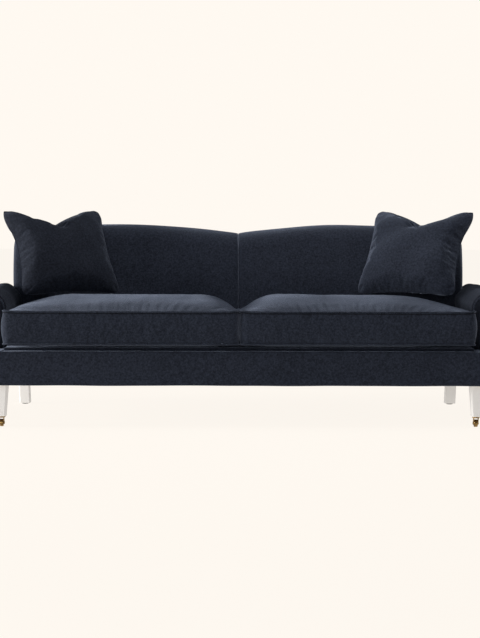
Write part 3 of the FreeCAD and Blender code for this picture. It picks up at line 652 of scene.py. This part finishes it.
# %% Back halves
BACK_BEND = 0.430
BACK_RAKE = 0.3115
OUTER_RAKE = 0.09507
HUMP_DROP = 0.037
CREST = 0.54                 # metres from the middle to the top of a half
BACK_SETTLE = 0.003          # how far the stuffing has settled
back_low, back_high = box("back_pad_right")
BACK_HALF = back_high[0]
REAR_TOP = box("outside_back_panel")[1]
BACK_PUFF = 0.010
SLAB = 0.006                  # thickness of the outside back


def hump(x):
    """Top line of the back: a parabola each way from the crest of a half, HUMP_DROP lower at its ends."""
    off = np.abs(x) - CREST
    share = np.where(off < 0, off / CREST, off / (BACK_HALF - CREST))
    return back_high[2] - BACK_SETTLE - HUMP_DROP * share ** 2


def inside_back(z):
    """Where the inside back's face is at a height: upright, then raked."""
    return back_low[1] + np.maximum(0, z - BACK_BEND) * BACK_RAKE


def outside_back(z):
    """Where the outside back's face is at a height."""
    return REAR_TOP[1] + (z - REAR_TOP[2]) * OUTER_RAKE


def back_half_points(seed):
    low = np.array([0.0, 0.0, back_low[2]])
    high = np.array([BACK_HALF, 1.0, back_high[2]])
    round_low, round_high = (0, 0.46, 0), (0.026, 0.05, 0.066)
    cube, quads, ids = cube_skin(110, 22, 58)
    x = crowd(cube[:, 0], 0.0, BACK_HALF, 0.014, 0.026, 0.07)
    y = crowd(cube[:, 1], 0.0, 1.0, 0.46, 0.05, 0.42)
    z = crowd(cube[:, 2], low[2], high[2], 0.01, 0.066, 0.18)
    spots = rounded(np.stack([x, y, z], 1), low, high, round_low, round_high)
    x, depth, z = spots.T
    z = low[2] + (z - low[2]) * (hump(x) - low[2]) / (high[2] - low[2])
    y = inside_back(z) + depth * (outside_back(z) - inside_back(z))
    points = np.stack([x, y, z], 1)
    normals = normals_of(points, quads)
    facing = smooth_step(-normals[:, 1], 0.1, 0.8)
    above = smooth_step(z, 0.47, 0.60)
    across = 1 - np.abs(2 * x / BACK_HALF - 1) ** 6
    puff = BACK_PUFF * facing * above * across
    seam = (0.009 - 0.004 * normals[:, 2].clip(0)) * np.exp(-x / 0.006)
    seam *= smooth_step(normals[:, 2] - normals[:, 1], 0.1, 0.6)
    uneven = 0.0016 * ripple(points, 0.28, seed) * across
    points += normals * (puff - seam + uneven)[:, None]
    side_bulge = 0.003 * np.sin(math.pi * np.clip((z - 0.52) / 0.26, 0, 1))
    tucked = 0.003 * (1 - smooth_step(z, 0.48, 0.56)) * (1 - smooth_step(depth, 0.45, 0.65))
    points[:, 0] += (side_bulge - tucked) * smooth_step(x, BACK_HALF - 0.10, BACK_HALF)
    points[:, 0] = np.maximum(points[:, 0], 0.0)
    return points, quads, ids


SIDE_SEAM_DEPTH = 5          # cells behind the front face, on the round of the side


for side, sign in SIDES:
    points, quads, ids = back_half_points(41 if sign < 0 else 57)
    seam = points[ids[-1, SIDE_SEAM_DEPTH, 8:-6]]
    cord = welt_points(seam, 0.0024, FORWARD, closed=False)
    half = make_piece("back_cover_" + side, *on_side(sign, points, quads))
    soften(half)
    finish_piece(half, "sofa", "upholstery", "back_pad_" + side)
    finish_piece(make_piece("back_side_seam_" + side, *on_side(sign, *cord)), "sofa", "upholstery")

# %% [markdown]
# ## Arms
# A rolled arm is a post and a board with stuffing laid over them: an upright inside face, a roll that
# overhangs the outside, and a flat facing at the front with a welt round it. One outline is carried
# from front to back, drawn in at both ends so that the edges turn softly.

# %% Arms
ROLL_UPPER, ROLL_LOWER, ARM_WALL = 0.070, 0.048, 0.069
arm_low, arm_high = box("arm_pad_right")
panel_low, panel_high = box("arm_front_panel_right")


def arm_outline(count=150):
    """The arm seen from the front, from the foot of its inside face over the roll to the foot of
    its outside: a line, half an ellipse, a quarter ellipse and a line, evenly spaced by length."""
    inner, outer = arm_low[0], arm_high[0]
    wall = inner + ARM_WALL
    widest = arm_high[2] - ROLL_UPPER
    over = np.linspace(math.pi, 0, 90)
    under = np.linspace(0, -math.pi / 2, 50)
    centre, half = (inner + outer) / 2, (outer - inner) / 2
    dense = np.concatenate([
        [(inner, arm_low[2])],
        np.stack([centre + half * np.cos(over), widest + ROLL_UPPER * np.sin(over)], 1),
        np.stack([wall + (outer - wall) * np.cos(under), widest + ROLL_LOWER * np.sin(under)], 1),
        [(wall, arm_low[2])]])
    steps = np.concatenate([[0], np.cumsum(np.linalg.norm(np.diff(dense, axis=0), axis=1))])
    even = np.linspace(0, steps[-1], count)
    return np.stack([np.interp(even, steps, dense[:, 0]), np.interp(even, steps, dense[:, 1])], 1)


def drawn_in(outline, amount):
    """The outline moved inwards, square to itself; its two feet stay on their level."""
    way = np.gradient(outline, axis=0)
    way /= np.linalg.norm(way, axis=1, keepdims=True)
    inward = np.stack([way[:, 1], -way[:, 0]], 1)
    moved = outline + inward * amount
    moved[[0, -1], 1] = outline[[0, -1], 1]
    return moved


def arm_cover(seed):
    """The outline carried along the arm, with a quarter round of 12 mm at the front and the rear."""
    outline = arm_outline()
    edge = 0.012
    turn = np.linspace(0, math.pi / 2, 7)
    front = panel_low[1] + 0.004
    rows = [(front + edge * (1 - math.sin(t)), edge * (1 - math.cos(t))) for t in turn[::-1]]
    rows += [(y, 0.0) for y in np.linspace(front + edge, arm_high[1] - edge, 64)[1:-1]]
    rows += [(arm_high[1] - edge * (1 - math.sin(t)), edge * (1 - math.cos(t))) for t in turn]
    rings = []
    for y, inset in rows:
        flat = drawn_in(outline, inset)
        rings.append(np.stack([flat[:, 0], np.full(len(flat), y), flat[:, 1]], 1))
    heart = np.array([arm_low[0] + 0.036, 0.0, arm_high[2] - 0.095])
    caps = []
    for ring in (rings[0], rings[-1]):
        spot = heart * np.array([1, 0, 1]) + np.array([0, ring[0, 1], 0])
        caps.append([spot + (ring - spot) * share for share in (0.0, 0.4, 0.75)])
    stack = np.stack(caps[0] + rings + caps[1][::-1])
    rows_count, columns = stack.shape[:2]
    points = stack.reshape(-1, 3)
    quads = sheet_quads(rows_count, columns)
    foot = sheet_quads(rows_count, 2)
    ends = np.stack([stack[:, -1], stack[:, 0]], 1).reshape(-1, 3)
    points, quads = joined([(points, quads[:, ::-1]), (ends, foot[:, ::-1])])
    normals = normals_of(points, quads)
    hold = smooth_step(points[:, 1], front, front + 0.05)
    hold = hold * smooth_step(points[:, 2], arm_low[2], arm_low[2] + 0.1)
    uneven = 0.0018 * ripple(points, 0.16, seed) * hold
    points = points + normals * uneven[:, None]
    behind_panel = smooth_step(points[:, 0], arm_low[0] + 0.050, arm_low[0] + 0.062)
    points[:, 0] -= 0.005 * behind_panel * (1 - smooth_step(points[:, 2], 0.405, 0.430))
    tuck = np.exp(-((points[:, 0] - BACK_HALF - 0.004) / 0.024) ** 2) * smooth_step(points[:, 1], 0.12, 0.34)
    points[:, 2] -= 0.013 * tuck * smooth_step(points[:, 2], 0.50, 0.53)
    return points, quads


def arm_facing():
    """The front panel: the outline drawn in by a little, filled towards its middle and puffed."""
    ring = drawn_in(arm_outline(), 0.0085)
    ring = ring[ring[:, 1] > panel_low[2]]
    ring = np.concatenate([[(ring[0, 0], panel_low[2])], ring, [(ring[-1, 0], panel_low[2])]])
    heart = np.array([arm_low[0] + 0.036, arm_high[2] - 0.095])
    shares = np.array([0.0, 1.0, 1.0, 0.985, 0.95, 0.85, 0.65, 0.4, 0.2, 0.0])
    out = np.array([-0.010, -0.010, -0.002, 0.0, 0.0012, 0.0028, 0.0040, 0.0048, 0.0050, 0.0050])
    flat = heart + (ring[None] - heart) * shares[:, None, None]
    y = np.broadcast_to(panel_low[1] + 0.003 - out[:, None], flat.shape[:2])
    points = np.stack([flat[..., 0], y, flat[..., 1]], -1).reshape(-1, 3)
    quads = sheet_quads(len(shares), len(ring))
    rows = points.reshape(len(shares), -1, 3)
    closing = np.stack([rows[:, -1], rows[:, 0]], 1)
    return joined([(points, quads), (closing.reshape(-1, 3), sheet_quads(len(shares), 2))]), ring


for side, sign in SIDES:
    face, ring = arm_facing()
    path = np.stack([ring[:, 0], np.full(len(ring), panel_low[1] + 0.0035), ring[:, 1]], 1)
    cord = welt_points(path, WELT, FORWARD, closed=False)
    arm = make_piece("arm_cover_" + side, *on_side(sign, *arm_cover(71 if sign < 0 else 83)))
    # The arm cover and facing take the darker copy of the cloth: painted shade.
    finish_piece(arm, "sofa", "upholstery", "arm_pad_" + side, look=deep_shade_navy)
    panel = make_piece("arm_facing_" + side, *on_side(sign, *face))
    finish_piece(panel, "sofa", "upholstery", "arm_front_panel_" + side, look=deep_shade_navy)
    finish_piece(make_piece("arm_welt_" + side, *on_side(sign, *cord)), "sofa", "upholstery")

# %% [markdown]
# ## Base, outside panels and deck
# The rails are wrapped in padded cloth. The front border turns over a ledge in front of the deck and
# beside the arms. The outside arms and the outside back are thin pads pulled flat, edged by seams.
# Each one is a rounded slab, uneven by a millimetre.

# %% Base and panels
def slab(low, high, edge, cells, uneven, seed, shape=None):
    """A padded slab: a box with rounded edges, bent by shape if given, uneven along its normals."""
    low, high = np.asarray(low, float), np.asarray(high, float)
    cube, quads, _ = cube_skin(*cells)
    round_size = np.minimum(edge, (high - low) * 0.49)
    spots = np.stack([crowd(cube[:, axis], low[axis], high[axis], round_size[axis], round_size[axis],
                            0.12 if cells[axis] > 8 else 0.4) for axis in range(3)], 1)
    points = rounded(spots, low, high, round_size, round_size)
    if shape:
        points = shape(points)
    normals = normals_of(points, quads)
    return points + normals * (uneven * ripple(points, 0.24, seed))[:, None], quads


def base_border():
    """The front border with its ledge, and one ledge beside each arm, as overlapping slabs."""
    low, high = box("front_border")
    depth = box("front_seat_rail")[0][1] - low[1]
    deck_front = box("deck_pad")[0][1]
    face = slab((low[0], low[1], low[2]), (high[0], low[1] + depth, high[2]), 0.0048, (150, 4, 22), 0.0007, 5)
    ledge = slab((-arm_low[0], low[1] + 0.002, high[2] - 0.006), (arm_low[0], deck_front + 0.004, high[2]),
                 0.0029, (150, 8, 4), 0.0004, 6)
    ends = []
    for sign in (-1, 1):
        a, b = sorted((sign * arm_low[0], sign * high[0]))
        ends.append(slab((a, low[1] + 0.002, high[2] - 0.0135), (b, high[1], high[2]), 0.004,
                         (12, 18, 6), 0.0004, 7))
    return joined([face, ledge] + ends)


border = make_piece("base_border", *base_border())
finish_piece(border, "sofa", "upholstery", "front_border")


def outside_arm(seed):
    """The outside arm down over the side rail: a slab for the rail and one for the wall above it."""
    low, high = box("outside_arm_panel_right")
    rail = slab((low[0], low[1], low[2]), (high[0], high[1] - 0.003, box("front_border")[1][2]),
                0.0045, (4, 90, 20), 0.0007, seed)
    wall = slab((low[0], panel_high[1], 0.28), (high[0], high[1], high[2] + 0.006),
                0.0035, (4, 80, 24), 0.0009, seed + 1)
    return joined([rail, wall])


for side, sign in SIDES:
    panel = make_piece("outside_arm_" + side, *on_side(sign, *outside_arm(91)))
    finish_piece(panel, "sofa", "upholstery", "outside_arm_panel_" + side)


def outside_back_shape():
    """The outside back: a thin slab whose top follows the humps and whose face follows the rake,
    and a wider slab below it, over the rear rail."""
    low, high = box("outside_back_panel")
    rail_top = box("rear_seat_rail")[1][2]
    rear_low = outside_back(rail_top)

    def lean(points):
        top = hump(points[:, 0]) - (back_high[2] - high[2])
        z = rail_top + (points[:, 2] - rail_top) * (top - rail_top) / (high[2] - rail_top)
        return np.stack([points[:, 0], outside_back(z) - 0.004 + points[:, 1], z], 1)

    upper = slab((-BACK_HALF + 0.003, 0.0, rail_top - 0.01), (BACK_HALF - 0.003, SLAB, high[2]), 0.0029,
                 (150, 4, 40), 0.0008, 15, lean)
    lower = slab((low[0], rear_low - SLAB, low[2]), (high[0], rear_low + 0.0005, rail_top), 0.003,
                 (150, 4, 20), 0.0007, 16)
    return joined([upper, lower])


outside = make_piece("outside_back", *outside_back_shape())
finish_piece(outside, "sofa", "upholstery", "outside_back_panel")

deck_low, deck_high = box("deck_pad")
deck = make_piece("deck_cover", *slab(deck_low, deck_high, 0.008, (120, 60, 6), 0.0006, 31))
finish_piece(deck, "sofa", "upholstery", "deck_pad")

dust_low, dust_high = box("dust_cover")
DUST_THICK = 0.0006
DUST_SAG = 0.0010            # how far the cloth hangs between the rails
FRONT_CUT, REAR_CUT = 0.0285, 0.0235     # half the width of the squares cut out for the legs
REAR_RAKE = 0.048            # how far a rear leg's foot is behind its top


def dust_cover():
    """A sheet stapled under the rails, with a square cut out of each corner for a leg: a grid whose
    columns and rows fall on the cuts. It sags by a product of cosines, and its two faces are
    DUST_THICK apart."""
    cuts = {}
    for node, half, rake in (("front_leg_right", FRONT_CUT, 0.0), ("rear_leg_right", REAR_CUT, REAR_RAKE)):
        low, high = box(node)
        top_y = (low[1] + high[1]) / 2 - rake / 2
        cuts[node] = ((low[0] + high[0]) / 2 - half, top_y - half, top_y + half)
    inner = min(cut[0] for cut in cuts.values())
    front, rear = cuts["front_leg_right"][2], cuts["rear_leg_right"][1]
    x = np.concatenate([[dust_low[0]], np.linspace(-inner, inner, 81), [dust_high[0]]])
    y = np.concatenate([[dust_low[1]], np.linspace(front, rear, 41), [dust_high[1]]])
    gx, gy = np.meshgrid(x, y, indexing="ij")
    hang = np.cos(gx / dust_high[0] * math.pi / 2).clip(0) * np.cos(gy / dust_high[1] * math.pi / 2).clip(0)
    sheet = np.stack([gx, gy, dust_high[2] - DUST_THICK - 0.0002 - DUST_SAG * hang], -1).reshape(-1, 3)
    cell = sheet_quads(len(x), len(y)).reshape(len(x) - 1, len(y) - 1, 4)
    keep = np.ones(cell.shape[:2], bool)
    keep[[0, 0, -1, -1], [0, -1, 0, -1]] = False
    under = cell[keep]
    edges = np.concatenate([under[:, [i, (i + 1) % 4]] for i in range(4)])
    _, first, times = np.unique(np.sort(edges, 1), axis=0, return_index=True, return_counts=True)
    rim = edges[first[times == 1]]
    count = len(sheet)
    walls = np.stack([rim[:, 1], rim[:, 0], rim[:, 0] + count, rim[:, 1] + count], 1)
    points = np.concatenate([sheet, sheet + (0, 0, DUST_THICK)])
    area = (np.diff(x)[:, None] * np.diff(y)[None] * keep).sum()
    return points, np.concatenate([under[:, ::-1], under + count, walls]), float(area)


points, quads, dust_area = dust_cover()
used, back = np.unique(quads, return_inverse=True)
dust = make_piece("dust_cloth", points[used], back.reshape(quads.shape))
finish_piece(dust, "sofa", "lining", "dust_cover")
print("dust cover", round(dust_area, 3), "square metres")

# %% [markdown]
# ## Scatter pillows
# A scatter pillow is two squares of cloth sewn at their edges and stuffed. The stuffing pulls the
# sides in between the corners, so the corners stand out as ears. These have been struck on
# their top edge, which leaves a notch with a crease below it. The pillow is shaped flat and upright
# first, then turned into its corner.

# %% Pillows
PILLOW = 0.445               # seam to seam across, before the filling pulls the sides in
PILLOW_TALL = 0.424
PILLOW_SHIFT = (-0.003, 0.002, -0.008)   # inwards and down, into the seat
PILLOW_THICK = 0.146
PILLOW_LEAN = math.radians(33)
PILLOW_TURN = math.radians(27)
INNER_ROUND, OUTER_ROUND = 0.17, 0.26    # radius of a corner, as a share of the half width
EAR_PULL = 0.062             # how far the outer ear is drawn out, as a share of the half width
NOTCH = 0.070
NOTCH_PLACE = 0.05


def pillow_shape(seed, wrinkle):
    """Local axes: u across, v up, w to the front. The half thickness is a power of (1-u^2)(1-v^2).
    The notch lowers the top edge by a cusp, straight on the outer side and curved on the inner."""
    cube, quads, ids = cube_skin(80, 80, 2)
    a, b, c = cube.T
    flat = rounded(np.stack([a, b, 0 * a], 1), (-1, -1, -1), (1, 1, 1), (INNER_ROUND, INNER_ROUND, 0),
                   (OUTER_ROUND, OUTER_ROUND, 0))
    ear = smooth_step(flat[:, 0], 0.15, 0.80) * smooth_step(flat[:, 1], 0.15, 0.80)
    flat[:, :2] += EAR_PULL * ear[:, None] * (1.0, 0.6)
    pull = np.where(a > 0, 0.125, 0.060)
    u = flat[:, 0] * (1 - pull * (1 - b ** 2) * np.abs(a) ** 1.5)
    v = flat[:, 1] * (1 - 0.075 * (1 - a ** 2) * np.abs(b) ** 1.5)
    fat = np.clip((1 - a ** 2) * (1 - b ** 2), 0, 1) ** 0.46
    w = c * (0.0022 + PILLOW_THICK / 2 * fat)
    points = np.stack([u * PILLOW / 2, v * PILLOW_TALL / 2, w], 1)
    ring = np.concatenate([ids[:-1, 0, 1], ids[-1, :-1, 1], ids[:0:-1, -1, 1], ids[0, :0:-1, 1]])
    held = np.zeros(len(points), bool)
    held[ring] = True
    points = stuffed(points, quads, held, pressure=4.0, spare=0.035, cap=0.010, frames=24, stiff=12.0)
    place = a - NOTCH_PLACE
    cusp = np.where(place > 0, np.clip(1 - place, 0, 1) ** 1.3, np.clip(1 + place / 1.05, 0, 1) ** 2.2)
    fall = smooth_step(b, -0.1, 1.0) ** 1.4
    points[:, 1] -= NOTCH * cusp * fall
    crease = np.exp(-((place + 0.30 * (1 - b)) / 0.085) ** 2) * smooth_step(b, 0.35, 0.95)
    points[:, 2] *= 1 - 0.5 * crease
    normals = normals_of(points, quads)
    body = smooth_step(fat, 0.05, 0.5)
    points += normals * (0.0028 * ripple(points, 0.13, seed) * body)[:, None]
    beside = np.exp(-((a - 0.93) / 0.30) ** 2) * np.exp(-((b - 0.05) / 0.55) ** 2) * body
    folds = np.sin(b * 27 + a * 5 + 1.4 * np.sin(b * 7 + seed)) ** 3
    points += normals * (wrinkle * folds * beside)[:, None]
    near_notch = np.exp(-((place + 0.10) / 0.16) ** 2) * np.exp(-((b - 0.68) / 0.20) ** 2)
    points += normals * (wrinkle * np.sin(b * 34 + a * 16) * near_notch)[:, None]
    return points, quads, ring


def across_axes():
    """The pillow's own axes once it leans back and is turned to the middle of the sofa."""
    across = np.array([math.cos(PILLOW_TURN), -math.sin(PILLOW_TURN), 0])
    up = np.array([math.sin(PILLOW_LEAN) * math.sin(PILLOW_TURN),
                   math.sin(PILLOW_LEAN) * math.cos(PILLOW_TURN), math.cos(PILLOW_LEAN)])
    return np.stack([across, up, np.cross(across, up)])


def pillow_in_place(points):
    """Sets the flat pillow in the middle of its model's box, along its own axes."""
    low, high = box("throw_pillow_right")
    return (low + high) / 2 + np.array(PILLOW_SHIFT) + points @ across_axes()


for side, sign in SIDES:
    flat, quads, ring = pillow_shape(101 if sign < 0 else 117, 0.0012 if sign < 0 else 0.0026)
    points = pillow_in_place(flat)
    cord = welt_points(points[ring], 0.0016, across_axes()[2])
    pillow = make_piece("pillow_cover_" + side, *on_side(sign, points, quads))
    soften(pillow)
    # The left pillow's cover and seam take the darker copy of the cloth: painted shade.
    finish_piece(pillow, "pillow_" + side, "upholstery", "throw_pillow_" + side, look=pillow_navy[side])
    finish_piece(make_piece("pillow_seam_" + side, *on_side(sign, *cord)), "pillow_" + side, "upholstery",
                 look=pillow_navy[side])
    filling = pillow_in_place(flat * np.array([0.93, 0.93, 0.90]))
    insert = make_piece("pillow_filling_" + side, *on_side(sign, filling, quads))
    finish_piece(insert, "pillow_" + side, "pillow_fill", "pillow_insert_" + side)

# %% [markdown]
# ## Legs
# The front legs are square, tapered, with the corners taken off, and stand on casters; the rear
# legs are plain raked blocks. A leg is one eight-sided outline carried from the rail to the foot,
# with a small bevel on every edge, as a plane and sandpaper would leave it.

# %% Legs
def leg(name, node, top_half, foot_half, chamfer, rake):
    """Eight corners at each of nine levels: a square of the given half width with cut corners."""
    low, high = box(node)
    centre_x = (low[0] + high[0]) / 2
    top_y = (low[1] + high[1]) / 2 - rake / 2
    rings = []
    for share in np.linspace(0, 1, 9):
        half = top_half + (foot_half - top_half) * share
        cut = half - chamfer
        plan = np.array([(half, -cut), (half, cut), (cut, half), (-cut, half), (-half, cut), (-half, -cut),
                         (-cut, -half), (cut, -half), (half, -cut)])
        z = high[2] + (low[2] - high[2]) * share
        rings.append(np.stack([centre_x + plan[:, 0], top_y + rake * share + plan[:, 1], np.full(9, z)], 1))
    ends = [np.repeat(ring.mean(0, keepdims=True), 9, 0) for ring in (rings[0], rings[-1])]
    for end, ring in zip(ends, (rings[0], rings[-1])):
        end[:, :2] = (centre_x, ring[:8, 1].mean())
    stack = np.stack([ends[0]] + rings + [ends[1]])
    piece = make_piece(name, stack.reshape(-1, 3), sheet_quads(len(stack), 9))
    piece.data.polygons.foreach_set("use_smooth", np.zeros(len(piece.data.polygons), bool))
    edge = piece.modifiers.new("edge", "BEVEL")
    edge.width, edge.segments, edge.limit_method = 0.0012, 2, "ANGLE"
    edge.angle_limit = math.radians(20)
    return finish_piece(piece, "sofa", "painted_leg", node)


for side, sign in SIDES:
    leg("front_leg_paint_" + side, "front_leg_" + side, top_half=0.028, foot_half=0.019, chamfer=0.006,
        rake=0.0)
    leg("rear_leg_paint_" + side, "rear_leg_" + side, top_half=0.023, foot_half=0.023, chamfer=0.003,
        rake=REAR_RAKE)

# %% [markdown]
# ## Room and light
# The sofa stands on a pale floor in front of nothing. A broad soft light hangs above it, so that the
# seats and the roll of the back are bright and the fronts are dark. A second one stands at the left
# and models the pillows, and a weak one at the front keeps the legs and the fronts readable.

# %% Room and light
PALE = (1.0, 0.948, 0.882)
ROOM_GLOW = 0.16             # what the sofa gets from the walls and, below, from the floor
FLOOR_GLOW, FLOOR_SEEN = 0.85, 0.955     # light thrown by the floor, and the tone that it shows


def pale_floor():
    """The floor shows one even pale tone, and throws light up onto the legs and the fronts."""
    new, tree, shader, place = material("pale_floor")
    soft = noise(tree, place, 0.8, 2.0)
    colour = blend_colours(tree, soft, (0.050, 0.047, 0.043, 1), (0.056, 0.053, 0.049, 1))
    seen = add(tree, "ShaderNodeLightPath").outputs["Is Camera Ray"]
    feed(tree, shader, {"Base Color": colour, "Roughness": 1.0, "Specular IOR Level": 0.0,
                        "Emission Color": (*PALE, 1),
                        "Emission Strength": spread(tree, seen, FLOOR_GLOW, FLOOR_SEEN)})
    return new


floor = bpy.data.objects.new("floor", bpy.data.meshes.new("floor"))
reach = 30.0
floor.data.from_pydata([(-reach, -reach, 0), (reach, -reach, 0), (reach, reach, 0), (-reach, reach, 0)], [],
                       [(0, 1, 2, 3)])
floor.data.materials.append(pale_floor())
scene.collection.objects.link(floor)

world = bpy.data.worlds.new("room")
scene.world = world
world.use_nodes = True
sky = world.node_tree
sky.nodes.clear()
seen = add(sky, "ShaderNodeBackground", {"Color": (*PALE, 1), "Strength": 1.0})
felt = add(sky, "ShaderNodeBackground", {"Color": (0.93, 0.96, 1.0, 1), "Strength": ROOM_GLOW})
path = add(sky, "ShaderNodeLightPath")
pick = add(sky, "ShaderNodeMixShader",
           {0: path.outputs["Is Camera Ray"], 1: felt.outputs[0], 2: seen.outputs[0]})
add(sky, "ShaderNodeOutputWorld", {0: pick.outputs[0]})


def area_light(name, place, target, size, power, colour=(1, 1, 1)):
    """A square lamp at a place, turned to a target."""
    lamp = bpy.data.lights.new(name, "AREA")
    lamp.size, lamp.energy, lamp.color = size, power, colour
    holder = bpy.data.objects.new(name, lamp)
    holder.location = place
    holder.rotation_euler = (Vector(target) - Vector(place)).to_track_quat("-Z", "Y").to_euler()
    scene.collection.objects.link(holder)


area_light("overhead", (0.4, -0.6, 3.5), (0.1, 0.0, 0.4), 2.2, 60, (1.0, 0.98, 0.96))
area_light("left_window", (-5.0, -0.8, 1.0), (0.7, 0.1, 0.7), 1.5, 290, (1.0, 0.98, 0.95))
area_light("front_fill", (-0.6, -5.5, 0.6), (0, 0, 0.2), 2.6, 60)
scene.view_settings.view_transform = "Standard"
print("three lamps, a floor and an even sky")
